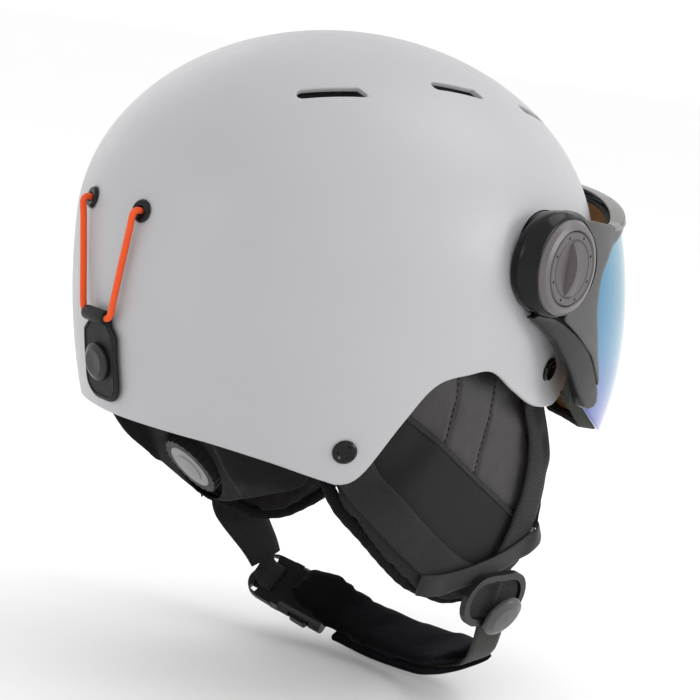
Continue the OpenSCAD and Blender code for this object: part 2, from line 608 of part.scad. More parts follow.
// Padded solid that follows the flap face between two depths
module flap_pad(depth, thick, inset, cols, rows, sewn) {
  skin([for (i = [0:rows]) let(v = i/rows, k = spline(flap_keys, lerp(inset/140, 1-inset/140, v)),
      end = 0.42*thick*(1-sqrt(1-pow(2*v-1, 8)))) concat(
    [for (j = [0:cols]) flap_pt(k, j/cols, inset, depth, end, thick, sewn)],
    [for (j = [cols:-1:0]) flap_back(k, j/cols, inset, depth, end, thick)])], flip = true);
}
function flap_row_y(k, u, inset) = lerp(k[1]-inset, k[2]+inset, u);
function flap_edge(u, thick) = 0.42*thick*(1-sqrt(1-pow(2*u-1, 6)));
function flap_pt(k, u, inset, depth, end, thick, sewn) = let(y = flap_row_y(k, u, inset))
  [flap_x(y, k[0]) - depth - max(end, flap_edge(u, thick)) - (sewn ? quilt([y, k[0]]) : 0), y, k[0]];
function flap_back(k, u, inset, depth, end, thick) = let(y = flap_row_y(k, u, inset))
  [flap_x(y, k[0]) - depth - thick + max(end, flap_edge(u, thick)), y, k[0]];
module ear_flap(side) {
  color(soft_black) on_side(side) flap_pad(0, flap_t, 0, 13, 22, true);
}
module ear_lining(side) {
  color("#2c2a28") on_side(side) flap_pad(flap_t+1.8, 5, 10, 8, 10, false);
}

// Flat strap along places on the flap: y, z, share of the way from shell to flap, lift
module flap_strap(keys, width, stations, lift) {
  function base(y, z, k) = lerp(shell_x(y, z, shell_t)-0.9-webbing_t, flap_x(y, z)+lift, k);
  rings = [for (i = [0:stations]) let(
      t = i/stations, p = spline(keys, t), q = spline(keys, min(1, t+0.02)), b = spline(keys, max(0, t-0.02)),
      d = unit([q[0]-b[0], q[1]-b[1]]), w = [-d.y, d.x]*width/2)
    concat([for (s = [-1,0,1]) let(y = p[0]+s*w.x, z = p[1]+s*w.y) [base(y,z,p[2])+webbing_t, y, z]],
      [for (s = [1,0,-1]) let(y = p[0]+s*w.x, z = p[1]+s*w.y) [base(y,z,p[2]), y, z]])];
  skin(rings);
}
rear_keys = [[64,-15,0], [57,-21,0], [49,-29,0.4], [38,-40.5,1], [20,-56,1], [1,-69.5,1], [-17,-80,1]];
front_keys = [[-46,23.5,0], [-47.5,15,0], [-51,3,0.5], [-56,-11,1], [-62,-26,1], [-65.5,-41,1],
  [-66,-55,1], [-62,-68,1], [-56,-79,1]];
band_keys = [[5,-81,1], [-8,-82,1], [-24,-80.5,1], [-44,-75,1], [-62,-67.5,1], [-74,-60,1]];
module rivet_holes() {
  for (r = [rear_rivet, temple_rivet]) on_shell(side_az(r.x, r.y), latitude(r.y, 0), 0)
    translate([0,0,-12]) cylinder(r = rivet_shank_r+0.1, h = 20, $fn = 32);
}
module rear_webbing(side) {
  color(web_black) on_side(side) difference() {
    flap_strap(side > 0 ? rear_keys : concat(rear_keys, [[-33,-86,1]]), webbing_w-2, 18, 0.7);
    rivet_holes();
  }
}
module front_webbing(side) {
  color(web_black) on_side(side) difference() {
    flap_strap(front_keys, webbing_w, 18, 0.7+webbing_t+0.3);
    rivet_holes();
  }
}
module flap_band(side) {
  color(soft_black) on_side(side) flap_strap(band_keys, 8.5, 12, 0.7+2*webbing_t+0.6);
}

// Oval ring below the right flap where the straps meet, and its round cap
divider_inset = 21.2;
module on_divider() {
  translate([divider_inset-half_w, -43.3, -92.4]) rotate([0, -11, 7.4]) rotate([90,0,-90]) children();
}
module slot_outline(l, w) {
  polygon(rounded([[-l/2,-w/2,w/2-0.1], [l/2,-w/2,w/2-0.1], [l/2,w/2,w/2-0.1], [-l/2,w/2,w/2-0.1]]));
}
ring_l = 43;
ring_w = 26;
cap_d = 22;
module divider_right() {
  color(gloss_black) on_divider() translate([0,0,-1.6]) linear_extrude(3.2) difference() {
    slot_outline(ring_l, ring_w);
    difference() {
      slot_outline(ring_l-7, ring_w-7);
      translate([-3,-ring_w/2]) square([2.6, ring_w]);
    }
  }
}
module divider_cap() {
  color(gloss_black) on_divider() translate([5,-ring_w/2+5.5,3.4]) rotate([15,0,0]) rotate_extrude($fn = 64)
    polygon(rounded([[0,0,0], [cap_d/2,0,0.5], [cap_d/2,2.4,1.4], [cap_d/3,4,3], [0,4.4,0]]));
}

// Chin strap under the jaw: right webbing, padded sleeve, buckle and left tail
strap_x = divider_inset - half_w;
chin_keys = [[strap_x+5.8,-51,-97], [strap_x+7.6,-51.8,-106.5], [strap_x+11.8,-54.5,-118],
  [lerp(-70.5, strap_x+18.3, 0.8),-58,-127.5], [lerp(-60, strap_x+28.8, 0.4),-62,-134.5],
  [-35,-68,-141.8], [0,-67,-145.3], [25,-62,-143.4], [37.7,-56.9,-140.5]];
// Lean of the strap's width from level toward upright as it comes under the chin
function chin_lean(x) = lerp(2, 27, clamp((x+80)/50));
function path_dir(keys, t) = unit(spline(keys, min(1, t+0.01))-spline(keys, max(0, t-0.01)));
// Ribbon with a soft or square section along a path, lifted off it by a distance
module ribbon(keys, stations, half_w, half_t, lift, soft) {
  n = soft ? 14 : 4;
  skin([for (i = [0:stations]) let(
      t = i/stations, p = spline(keys, t), d = path_dir(keys, t), up = [0, -cos(chin_lean(p.x)), sin(chin_lean(p.x))],
      w = unit(up-d*(up*d)), c = cross(d, w), e = soft ? 0.75+0.25*sqrt(max(0, 1-pow(2*t-1, 8))) : 1,
      h = soft ? lerp(half_t, 3, clamp((p.x-24)/14)) : half_t, o = p+c*lift)
    [for (k = [0:n-1]) let(a = 360/n*(k+0.5), u = cos(a), v = sin(a)) soft
      ? o + w*half_w*e*sign(u)*pow(abs(u), 0.6) + c*h*e*sign(v)*pow(abs(v), 0.7)
      : o + w*half_w*sign(u) + c*half_t*sign(v)]], flip = true);
}
module chin_webbing() {
  color(web_black) ribbon(chin_keys, 26, webbing_w/2-1, webbing_t/2, 0, false);
}
// Cushion on the neck side of the webbing, drawn out over the buckle as a guard
pad_keys = [[-63,-60,-129], [-35,-66.2,-137.2], [0,-64.7,-140.7], [25.6,-58.6,-137.6], [38.8,-50.1,-131.1],
  [53,-43.5,-126.6]];
module chin_pad() {
  color(soft_black) ribbon(pad_keys, 24, sleeve_w/2, sleeve_t/2-1.5, -0.4, true);
}
// Outer cover of the sleeve under the webbing
cover_keys = [for (k = [4:7]) chin_keys[k]];
module sleeve_cover() {
  color(soft_black) ribbon(cover_keys, 14, sleeve_w/2-1.5, 0.6, webbing_t/2+1.3, false);
}

// Buckle frame: x toward the left strap, y across the strap, z its thickness
module on_buckle() {
  translate([49.6,-51,-137.2]) rotate([-44.5,-13.9,26.3]) children();
}
buckle_t = 9;
wall = 1.8;
module buckle_socket() {
  color(gloss_black) on_buckle() difference() {
    translate([-socket_l/2, 0, 0]) rotate([0,90,0]) linear_extrude(socket_l)
      polygon(rounded([[-buckle_t/2,-buckle_w/2+3,3], [-buckle_t/2,buckle_w/2-3,3], [0,buckle_w/2,3],
        [buckle_t/2,buckle_w/2-3,3], [buckle_t/2,-buckle_w/2+3,3], [0,-buckle_w/2,3]]));
    translate([-socket_l/2+7, -buckle_w/2+3.4, -buckle_t/2+wall])
      cube([socket_l, buckle_w-6.8, buckle_t-2*wall]);
    for (s = [1,-1]) translate([0, s*(buckle_w/2-1), 0]) cube([12.8, 8, buckle_t-2*wall], center = true);
    translate([-socket_l/2-1, -webbing_w/2+0.4, -1.1]) cube([9, webbing_w-0.8, 2.2]);
  }
}
prong_y = buckle_w/2-6.2;
module buckle_plug() {
  color(gloss_black) on_buckle() difference() {
    union() {
      translate([socket_l/2+0.3, -buckle_w/2+1.5, -3.2]) cube([5, buckle_w-3, 6.4]);
      translate([-socket_l/2+9, -2.2, -2.2]) cube([socket_l-7, 4.4, 4.4]);
      translate([0,0,-1.6]) linear_extrude(3.2) difference() {
        polygon(rounded([[socket_l/2+4,-buckle_w/2+1,1], [socket_l/2+26,-buckle_w/2+2,9],
          [socket_l/2+22,0,0], [socket_l/2+26,buckle_w/2-2,9], [socket_l/2+4,buckle_w/2-1,1]]));
        for (s = [1,-1]) translate([socket_l/2+16.5, s*6.6]) rotate([0,0,s*-14]) square([4.2, 10.5], center = true);
        translate([socket_l/2+9, 0]) square([3.4, webbing_w-4], center = true);
      }
    }
    for (s = [1,-1]) translate([socket_l/2+2.8, s*prong_y, -6]) cylinder(r = 1.5+run_gap, h = 12, $fn = 32);
    for (s = [1,-1]) translate([socket_l/2-0.5, s*prong_y-2.2, -2.4]) cube([5.4, 4.4, 4.8]);
  }
}
// Springy side prong that turns on a pin in the plug and shows in the socket's window
module prong(s) {
  color(gloss_black) on_buckle() {
    translate([socket_l/2+2.8, s*prong_y, -3.1]) cylinder(r = 1.5, h = 6.2, $fn = 32);
    linear_extrude(4.4, center = true) polygon([for (p = rounded([[socket_l/2+3.6,-1.3,0.8],
      [socket_l/2+3.6,1.3,0.8], [6.5,1.3,1], [5,6.2,1.2], [-4.5,6.6,1.5], [-5.4,1.5,1],
      [4.5,-0.6,2], [9,-1.3,2]])) [p.x, s*(prong_y+p.y)]]);
  }
}
// Left webbing from the flap's tip down to the plug
tail_inset = 24;
tail_keys = [[half_w-tail_inset,-22,-88.5,18,0], [half_w-tail_inset-1,-24,-98,15.5,-2],
  [80,-35,-114.5,10.5,-3.5], [78,-39,-122,8.7,-3.9]];
module strap_tail_left() {
  h = webbing_t/2;
  color(web_black) skin([for (i = [0:9]) let(k = spline(tail_keys, i/9)) [
    [k[0]+h,k[1]+k[3],k[2]+k[4]], [k[0]+h,k[1]-k[3],k[2]-k[4]],
    [k[0]-h,k[1]-k[3],k[2]-k[4]], [k[0]-h,k[1]+k[3],k[2]+k[4]]]], flip = true);
}

// Dial frame: z out along the dial's axis, x to the wearer's left, y down and forward
dial_at = [0, 68.7, -42.4];
module on_dial() {
  translate(dial_at) rotate([-(90+dial_tilt), 0, 0]) children();
}
shaft_r = 2.6;
rack_z = -5.2;
rack_t = 2;
tooth_pitch = 2*PI*pinion_r/pinion_teeth;
module fit_dial() {
  color(soft_black) on_dial() {
    difference() {
      linear_extrude(dial_h) difference() {
        circle(r = dial_d/2-0.7, $fn = 96);
        for (k = [0:23]) rotate([0,0,15*k]) translate([dial_d/2, 0]) circle(r = 1.5, $fn = 24);
      }
      translate([0,0,dial_h-1.2]) cylinder(r = dial_d/2-4.6, h = 3, $fn = 96);
      translate([0,0,-1]) cylinder(r = dial_d/2-4, h = 3.6, $fn = 96);
      translate([0,0,-1]) cylinder(r = shaft_r, h = 20, $fn = 48);
    }
    for (k = [0:23]) rotate([0,0,15*k+7.5]) translate([dial_d/2-4.6, 0, 0.3]) cylinder(r = 0.7, h = 2, $fn = 16);
  }
}
module dial_cap() {
  color("#9b9b9d") on_dial() rotate_extrude($fn = 96) polygon(rounded([
    [0, dial_h-1.1, 0], [dial_d/2-4.7, dial_h-1.1, 0], [dial_d/2-4.7, dial_h+0.3, 0.4],
    [dial_d/4-0.6, dial_h+0.5, 0.3], [dial_d/4-1, dial_h+1.1, 0.4], [0, dial_h+1.3, 0]]));
}
// Pinion with its shaft, pressed into the dial
module dial_pinion() {
  color("#77787a") on_dial() {
    translate([0,0,rack_z-rack_t/2-0.2]) linear_extrude(rack_t+0.2) for (k = [0:pinion_teeth-1])
      rotate([0,0,90+360/pinion_teeth*(k+0.5)]) polygon([[0,-1.5], [pinion_r-1.1,-1.05], [pinion_r+0.75,-0.42],
        [pinion_r+0.75,0.42], [pinion_r-1.1,1.05], [0,1.5]]);
    translate([0,0,rack_z-rack_t/2-0.2]) cylinder(r = shaft_r-0.05, h = dial_h-1.3-rack_z+rack_t/2, $fn = 48);
  }
}
housing_z0 = rack_z-rack_t/2-1.6;
module band_arc(r0, r1, y0, y1, a0, a1) {
  translate([0,0,rack_z-band_r]) rotate([90,0,0]) translate([0,0,-y1])
    rotate([0,0,90-a1]) rotate_extrude(angle = a1-a0, $fn = 180) translate([r0, 0]) square([r1-r0, y1-y0]);
}
module dial_housing() {
  color(soft_black) on_dial() difference() {
    union() {
      band_arc(band_r-rack_t/2-1.6, band_r+rack_t/2+1.6, -12.5, 12.5, -21, 21);
      translate([0,0,housing_z0+2]) cylinder(r = dial_d/2+2, h = -housing_z0-2.4, $fn = 96);
      translate([0,0,-2]) cylinder(r = dial_d/2-8, h = 2.3, $fn = 64);
    }
    band_arc(band_r-rack_t/2-0.35, band_r+rack_t/2+0.35, -10.9, 10.9, -30, 30);
    translate([0,0,-20]) cylinder(r = shaft_r+run_gap-0.05, h = 40, $fn = 48);
  }
}
module dial_spring() {
  color("#77787a") on_dial() difference() {
    union() {
      translate([0,0,0.3]) cylinder(r = dial_d/2-6.1, h = 1.6, $fn = 64);
      for (k = [0,180]) rotate([0,0,k]) translate([dial_d/2-6.2, 0, 0.3]) cylinder(r = 0.6, h = 1.6, $fn = 16);
    }
    translate([0,0,-1]) cylinder(r = shaft_r+2, h = 5, $fn = 48);
  }
}
// Toothed band: row is -1 for the band above the pinion and 1 for the one below it
module rack_band(row) {
  inner_y = pinion_r+1.15;
  band_edge = 10.6;
  far_angle = 31;
  shift = row < 0 && pinion_teeth%2 == 1 ? 0.5 : 0;
  color("#2e2e31") on_dial() mirror([row > 0 ? 0 : 1, 0, 0]) {
    band_arc(band_r-rack_t/2, band_r+rack_t/2, row > 0 ? inner_y : -band_edge, row > 0 ? band_edge : -inner_y,
      -7, far_angle);
    for (k = [-2:9]) translate([0,0,rack_z-band_r]) rotate([0, tooth_pitch/(PI*band_r/180)*(k+shift), 0])
      translate([0,0,band_r-rack_t/2]) linear_extrude(rack_t) polygon([
        [-1.1, row*(inner_y+0.3)], [-0.42, row*(inner_y-1.8)], [0.42, row*(inner_y-1.8)], [1.1, row*(inner_y+0.3)]]);
  }
}

// Padded yoke round the nape, hung from the shell, with the dial in its middle
cradle_top = liner_edge([150, nape_z-2])[1] - seat_gap + 0.35;
cradle_keys = [[113.5,cradle_top], [112,-14], [106.5,-24], [100,-33], [93.5,-41], [87.5,-46], [79,-51.5], [71.5,-56.5], [62,-63]];
cradle_t = 4.5;
plateau_half = 34;
// Shares of the shell's half width and half length that set the spread of the yoke
cradle_spread = 0.88/110;
cradle_reach = 1/129;
// Distance of the level middle part, where the dial sits, behind the head centre
function plateau_y(z) = dial_at.y + 6.8 + 0.62*(z-dial_at.z);
function cradle_pt(psi, v, off) = let(
    k = spline(cradle_keys, v*lerp(1, 0.49, pow(abs(psi)/54, 2))), r = k[0]+off,
    x = cradle_spread*half_w*r*sin(psi), flat = plateau_y(k[1]) + off*1.2 + 1.3*max(0, abs(x)-plateau_half))
  [x, min(shell_cy+cradle_reach*half_l*r*cos(psi), flat), k[1]];
module cradle_wall(psi0, psi1, cols, v0, v1, rows, off_in, off_out) {
  skin([for (i = [0:cols]) let(psi = lerp(psi0, psi1, i/cols)) concat(
    [for (j = [0:rows]) cradle_pt(psi, lerp(v0, v1, j/rows), off_out)],
    [for (j = [rows:-1:0]) cradle_pt(psi, lerp(v0, v1, j/rows), off_in)])]);
}
module fit_cradle() {
  color(soft_black) difference() {
    cradle_wall(-54, 54, 30, 0, 1, 10, -cradle_t, 0);
    on_dial() translate([0,0,-40]) cylinder(r = dial_d/2+2.6, h = 80, $fn = 96);
    on_dial() band_arc(band_r-40, band_r+rack_t/2+1.9, -13, 13, -30, 30);
  }
}
module nape_pad() {
  color(soft_black) difference() {
    cradle_wall(-25, 25, 14, 0.39, 0.956, 6, -pad_t-16, -16);
    on_dial() band_arc(band_r-rack_t/2-1.9, band_r+30, -13, 13, -60, 60);
  }
}

outer_shell();
eps_liner();
vent_mesh();
crown_pad();
brow_pad();
nape_pad();
fit_cradle();
dial_housing();
dial_spring();
fit_dial();
dial_cap();
dial_pinion();
rack_band(-1);  // band_right
rack_band(1);  // band_left
on_side(-1) pivot_base();  // pivot_base_right
on_side(1) pivot_base();  // pivot_base_left
pivot_bolts();
on_side(-1) visor_bracket();  // visor_bracket_right
on_side(1) visor_bracket();  // visor_bracket_left
visor_frame();
visor_lens();
inner_lens();
visor_gasket();
on_side(-1) knob_bezel();  // knob_bezel_right
on_side(1) knob_bezel();  // knob_bezel_left
on_side(-1) knob();  // knob_right
on_side(1) knob();  // knob_left
eyelets();
elastic_cord();
goggle_tab();
snap_cap();
snap_stud();
strap_rivets();
ear_flap(-1);  // ear_flap_right
ear_flap(1);  // ear_flap_left
ear_lining(-1);  // ear_lining_right
ear_lining(1);  // ear_lining_left
rear_webbing(-1);  // rear_webbing_right
rear_webbing(1);  // rear_webbing_left
front_webbing(-1);  // front_webbing_right
front_webbing(1);  // front_webbing_left
flap_band(-1);  // flap_band_right
flap_band(1);  // flap_band_left
divider_right();
divider_cap();
chin_webbing();
chin_pad();
sleeve_cover();
buckle_socket();
buckle_plug();
prong(-1);  // prong_front
prong(1);  // prong_rear
strap_tail_left();
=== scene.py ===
"""Dressed visual model of a visor ski helmet, in the frame of its CAD model."""
import json
from math import acos, asin, atan2, ceil, copysign, cos, degrees, exp, hypot, log, pi, radians, sin, sqrt, tan
import bpy
import bmesh
import numpy as np
from mathutils import Vector, Matrix
from mathutils.bvhtree import BVHTree
from mathutils.geometry import delaunay_2d_cdt

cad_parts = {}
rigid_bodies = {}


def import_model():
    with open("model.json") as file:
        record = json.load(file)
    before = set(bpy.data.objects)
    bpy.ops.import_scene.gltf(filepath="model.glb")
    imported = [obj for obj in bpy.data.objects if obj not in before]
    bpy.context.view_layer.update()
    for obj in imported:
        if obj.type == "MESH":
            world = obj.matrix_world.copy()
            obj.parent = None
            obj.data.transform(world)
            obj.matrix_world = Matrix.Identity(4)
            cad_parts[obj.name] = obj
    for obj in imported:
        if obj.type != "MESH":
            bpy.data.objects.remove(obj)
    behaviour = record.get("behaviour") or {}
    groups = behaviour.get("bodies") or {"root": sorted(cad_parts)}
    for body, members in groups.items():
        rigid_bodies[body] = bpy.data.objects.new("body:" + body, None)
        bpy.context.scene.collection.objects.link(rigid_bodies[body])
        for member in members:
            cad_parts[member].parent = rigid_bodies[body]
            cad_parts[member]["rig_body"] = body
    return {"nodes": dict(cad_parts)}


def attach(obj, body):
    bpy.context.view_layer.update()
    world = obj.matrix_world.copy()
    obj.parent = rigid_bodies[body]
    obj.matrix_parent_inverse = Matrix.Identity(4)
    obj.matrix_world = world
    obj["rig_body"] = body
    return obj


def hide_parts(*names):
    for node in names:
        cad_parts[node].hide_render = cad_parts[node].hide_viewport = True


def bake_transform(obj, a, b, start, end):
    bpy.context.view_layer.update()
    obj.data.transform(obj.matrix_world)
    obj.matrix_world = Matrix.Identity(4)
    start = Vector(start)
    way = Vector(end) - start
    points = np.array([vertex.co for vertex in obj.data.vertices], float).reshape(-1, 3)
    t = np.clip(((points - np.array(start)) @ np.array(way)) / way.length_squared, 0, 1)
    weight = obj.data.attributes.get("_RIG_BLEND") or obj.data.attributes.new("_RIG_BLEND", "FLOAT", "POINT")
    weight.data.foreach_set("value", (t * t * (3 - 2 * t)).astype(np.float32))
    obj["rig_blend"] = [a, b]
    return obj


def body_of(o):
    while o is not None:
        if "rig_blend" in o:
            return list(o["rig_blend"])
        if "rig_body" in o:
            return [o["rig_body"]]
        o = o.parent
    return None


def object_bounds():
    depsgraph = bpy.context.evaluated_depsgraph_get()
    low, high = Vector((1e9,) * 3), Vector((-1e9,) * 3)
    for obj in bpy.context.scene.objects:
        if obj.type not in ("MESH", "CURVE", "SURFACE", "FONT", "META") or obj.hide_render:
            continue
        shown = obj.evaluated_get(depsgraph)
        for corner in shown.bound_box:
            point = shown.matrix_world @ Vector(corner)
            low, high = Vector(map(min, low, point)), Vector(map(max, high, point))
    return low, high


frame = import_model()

cad_box = [[float(c) for c in corner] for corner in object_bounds()]
MM = 0.001
scene = bpy.context.scene
SIDES = {"right": -1, "left": 1}


def sind(a):
    return sin(radians(a))


def cosd(a):
    return cos(radians(a))


def clamp(t):
    return max(0.0, min(1.0, t))


def lerp(a, b, t):
    return a + (b - a) * t


def fall(t, power):
    """1 in the middle of 0 to 1, falling to 0 at both ends; a higher power falls later."""
    return sqrt(max(0, 1 - (2 * t - 1) ** power))


def vec(*p):
    return Vector([float(c) for c in (p[0] if len(p) == 1 else p)])


# ---------------------------------------------------------------- camera, light, floor
def make_camera():
    eye = Vector((-0.74467, 0.62024, 0.16187))
    right = Vector((-0.6238300, -0.7695977, 0.1362186))
    up = Vector((0.2074777, 0.0049661, 0.9782271))
    look = Vector((0.7535178, -0.6385098, -0.1565764))
    data = bpy.data.cameras.new("camera")
    data.sensor_width = 36
    data.lens = 105.42
    data.clip_end = 20
    cam = bpy.data.objects.new("camera", data)
    rot = Matrix((right, up, -look)).transposed().to_4x4()
    cam.matrix_world = Matrix.Translation(eye) @ rot
    scene.collection.objects.link(cam)
    scene.camera = cam


def area_light(name, at, size, power):
    """Round lamp aimed at the middle of the helmet."""
    data = bpy.data.lights.new(name, "AREA")
    data.shape = "DISK"
    data.size, data.energy = size, power
    lamp = bpy.data.objects.new(name, data)
    lamp.location = at
    lamp.rotation_euler = (Vector((0, 0, 0.05)) - Vector(at)).to_track_quat("-Z", "Y").to_euler()
    scene.collection.objects.link(lamp)


make_camera()
scene.view_settings.view_transform = "Standard"
area_light("key", (-0.5, -0.9, 1.7), 1.3, 7)
area_light("front", (-1.5, -1.3, 0.5), 0.9, 11)
area_light("rear", (-0.2, 2.0, 0.7), 0.8, 2.5)
area_light("left", (1.8, -0.2, 0.8), 1.5, 3)
scene.world = bpy.data.worlds.new("studio")
scene.world.use_nodes = True
sky = scene.world.node_tree.nodes["Background"].inputs
sky["Color"].default_value = (1, 1, 1, 1)
sky["Strength"].default_value = 1.02


# ---------------------------------------------------------------- materials
class Val:
    """A node output that takes plain arithmetic."""

    def __init__(self, mat, socket):
        self.mat, self.socket = mat, socket

    def __add__(self, b):
        return self.mat.math("ADD", self, b)

    def __sub__(self, b):
        return self.mat.math("SUBTRACT", self, b)

    def __mul__(self, b):
        return self.mat.math("MULTIPLY", self, b)


SOCKETS = {"coat": "Coat Weight", "coat_rough": "Coat Roughness", "spec": "Specular IOR Level", "metal": "Metallic",
           "ior": "IOR", "sheen": "Sheen Weight", "sheen_rough": "Sheen Roughness", "tint": "Sheen Tint"}


class Mat:
    """A Principled material with short ways to add texture nodes."""

    def __init__(self, name, color, rough, **sockets):
        self.m = bpy.data.materials.new(name)
        self.m.use_nodes = True
        self.t = self.m.node_tree
        self.b = next(n for n in self.t.nodes if n.type == "BSDF_PRINCIPLED")
        self.color = color
        self.feed(self.b, {"Base Color": color, "Roughness": rough})
        self.feed(self.b, {SOCKETS[k]: v for k, v in sockets.items()})

    def feed(self, node, ins):
        for k, v in ins.items():
            socket = node.inputs[k]
            if isinstance(v, Val):
                self.t.links.new(v.socket, socket)
            else:
                socket.default_value = (*v, 1) if socket.type == "RGBA" else v
        return node

    def node(self, kind, ins, **props):
        node = self.t.nodes.new("ShaderNode" + kind)
        for k, v in props.items():
            setattr(node, k, v)
        return self.feed(node, ins)

    def n(self, kind, ins, out=0, **props):
        return Val(self, self.node(kind, ins, **props).outputs[out])

    def at(self, kind="Object"):
        return self.n("TexCoord", {}, kind)

    def noise(self, scale, detail=3.0, rough=0.5, vec=None):
        return self.n("TexNoise", {"Vector": vec or self.at(), "Scale": scale, "Detail": detail,
                                   "Roughness": rough}, "Fac")

    def voronoi(self, scale, feature="F1", randomness=1.0):
        return self.n("TexVoronoi", {"Vector": self.at(), "Scale": scale, "Randomness": randomness},
                      "Distance", feature=feature)

    def math(self, op, a, b=0.0, clamp=False):
        return self.n("Math", {0: a, 1: b}, operation=op, use_clamp=clamp)

    def scaled(self, a, low, high, to_low=0.0, to_high=1.0):
        return self.n("MapRange", {"Value": a, "From Min": low, "From Max": high, "To Min": to_low,
                                   "To Max": to_high}, "Result")

    def mix(self, fac, a, b):
        return self.n("Mix", {"Factor": fac, 6: a, 7: b}, 2, data_type="RGBA")

    def bump(self, height, strength, distance):
        last = self.b.inputs["Normal"]
        ins = {"Height": height, "Strength": strength, "Distance": distance}
        if last.is_linked:
            ins["Normal"] = Val(self, last.links[0].from_socket)
        return self.put("Normal", self.n("Bump", ins, "Normal"))

    def put(self, socket, value):
        self.feed(self.b, {socket: value})
        return self

    def paint(self, fac, a, b):
        """Base colour between two tones."""
        return self.put("Base Color", self.mix(fac, a, b))

    def polish(self, low, high, scale, detail, rough=0.5, start=0.3, end=0.7, vec=None):
        """Lets the roughness drift between two values."""
        return self.put("Roughness", self.scaled(self.noise(scale, detail, rough, vec), start, end, low, high))

    def vary(self, amount, scale=60.0, detail=4.0):
        """Lets the base colour drift a little over the surface."""
        dark = tuple(c * (1 - amount) for c in self.color)
        light = tuple(min(1, c * (1 + amount)) for c in self.color)
        return self.paint(self.scaled(self.noise(scale, detail), 0.3, 0.7), dark, light)

    def axes(self, vec=None):
        """X, Y and Z of a coordinate, the object's own by default."""
        return [Val(self, s) for s in self.node("SeparateXYZ", {"Vector": vec or self.at()}).outputs]


def moulded(name, color, rough, grain=2200.0, depth=0.12, **sockets):
    """Moulded plastic with a fine spark-eroded grain."""
    m = Mat(name, color, rough, **sockets).vary(0.07, 45).polish(rough - 0.05, rough + 0.06, 160, 4)
    return m.bump(m.noise(grain, 3, 0.6), depth, 0.00012)


def gloss(name, color, rough=0.16):
    m = Mat(name, color, rough, coat=0.04, coat_rough=0.05, spec=0.2)
    m.vary(0.12, 70).polish(rough - 0.04, rough + 0.1, 95, 5, 0.6, 0.35, 0.75)
    return m.bump(m.noise(500, 2), 0.04, 0.0001)


KNOB_CANT = 12


def knob_bezel():
    """Satin ring on a gloss black collar, split by the height along the knob's canted axis."""
    m = Mat("bezel_two_tone", (0.115, 0.104, 0.107), 0.3, spec=0.4)
    x, y, _ = m.axes()
    height = m.math("ABSOLUTE", x) * cosd(KNOB_CANT) - (y + 0.027) * sind(KNOB_CANT)
    face = m.math("MULTIPLY", height - (0.1125 * cosd(KNOB_CANT) + 0.0042), 9000.0, True)
    m.paint(face, (0.004, 0.004, 0.005), m.mix(m.noise(60, 4), (0.108, 0.098, 0.100), (0.122, 0.110, 0.114)))
    m.put("Roughness", m.scaled(face, 0, 1, 0.14, 0.31))
    return m.bump(m.noise(3200, 3), 0.05, 0.00012)


def shell_paint():
    m = Mat("shell_paint", (0.408, 0.408, 0.421), 0.42, coat=0.15, coat_rough=0.35, spec=0.4)
    m.vary(0.018, 16, 3).polish(0.38, 0.47, 140, 5)
    return m.bump(m.noise(1500, 2), 0.05, 0.00012).bump(m.noise(260, 2), 0.03, 0.0002)


def brushed(name, color, rough):
    m = Mat(name, color, rough, metal=1.0)
    stretched = m.n("Mapping", {"Vector": m.at(), "Scale": (1.0, 0.06, 1.0)})
    m.polish(rough - 0.07, rough + 0.1, 2600, 4, vec=stretched)
    return m.bump(m.noise(3000, 3, vec=stretched), 0.12, 0.00008)


def leather():
    """Flap cover: grained leather above the piping, canvas below it."""
    m = Mat("flap_cover", (0.030, 0.0265, 0.025), 0.42, sheen=0.03, sheen_rough=0.5, spec=0.32)
    _, y, z = m.axes()
    above_piping = y * -0.5256 + z * 0.8507 + 0.0186
    is_hide = m.math("MULTIPLY", above_piping, 4000.0, True)
    fine, soft = m.noise(2400, 4, 0.6), m.noise(130, 4, 0.6)
    hide_h = m.voronoi(1150) * 0.8 + fine * 0.4
    _, u, v = m.axes(m.n("Mapping", {"Vector": m.at(), "Rotation": (radians(32), 0, 0)}))
    weave = m.math("SINE", u * 9500.0) * m.math("SINE", v * 9500.0)
    canvas_h = weave * 0.35 + fine * 0.5
    hide = m.mix(m.scaled(soft, 0.3, 0.7), (0.020, 0.0175, 0.0175), (0.034, 0.030, 0.0295))
    cloth = m.mix(m.scaled(weave, -0.6, 0.8), (0.0035, 0.0034, 0.0036), (0.0125, 0.012, 0.013))
    m.paint(is_hide, cloth, hide)
    hide_rough = m.scaled(soft, 0.3, 0.7, 0.36, 0.5)
    m.put("Roughness", m.n("Mix", {"Factor": is_hide, 2: 0.86, 3: hide_rough}, data_type="FLOAT"))
    m.bump(m.n("Mix", {"Factor": is_hide, 2: canvas_h, 3: hide_h}, data_type="FLOAT"), 0.35, 0.00035)
    return m.bump(m.noise(95, 3, 0.6), 0.25, 0.0009)


def webbing(name, low, high, pitch, rough=0.62, sheen=0.25):
    """Ribbed strap: ribs across the strap, fine yarns along it (UVs are in metres)."""
    m = Mat(name, high, rough, sheen=sheen, sheen_rough=0.45, spec=0.22)
    u, v, _ = m.axes(m.at("UV"))
    rib = m.math("SINE", v * (2 * pi / pitch) + m.noise(700, 2) * 0.9)
    yarn = m.math("SINE", u * (2 * pi / 0.00062))
    fuzz = m.noise(3200, 3, 0.7)
    # Darker in the grooves between ribs and between yarns: painted shade; the fuzz adds a random tone.
    m.paint(m.scaled(rib * 0.32 + yarn * 0.12 + fuzz * 0.9, 0.0, 0.9), low, high)
    return m.bump(rib + yarn * 0.5, 0.7, 0.0003).bump(fuzz, 0.25, 0.0002)


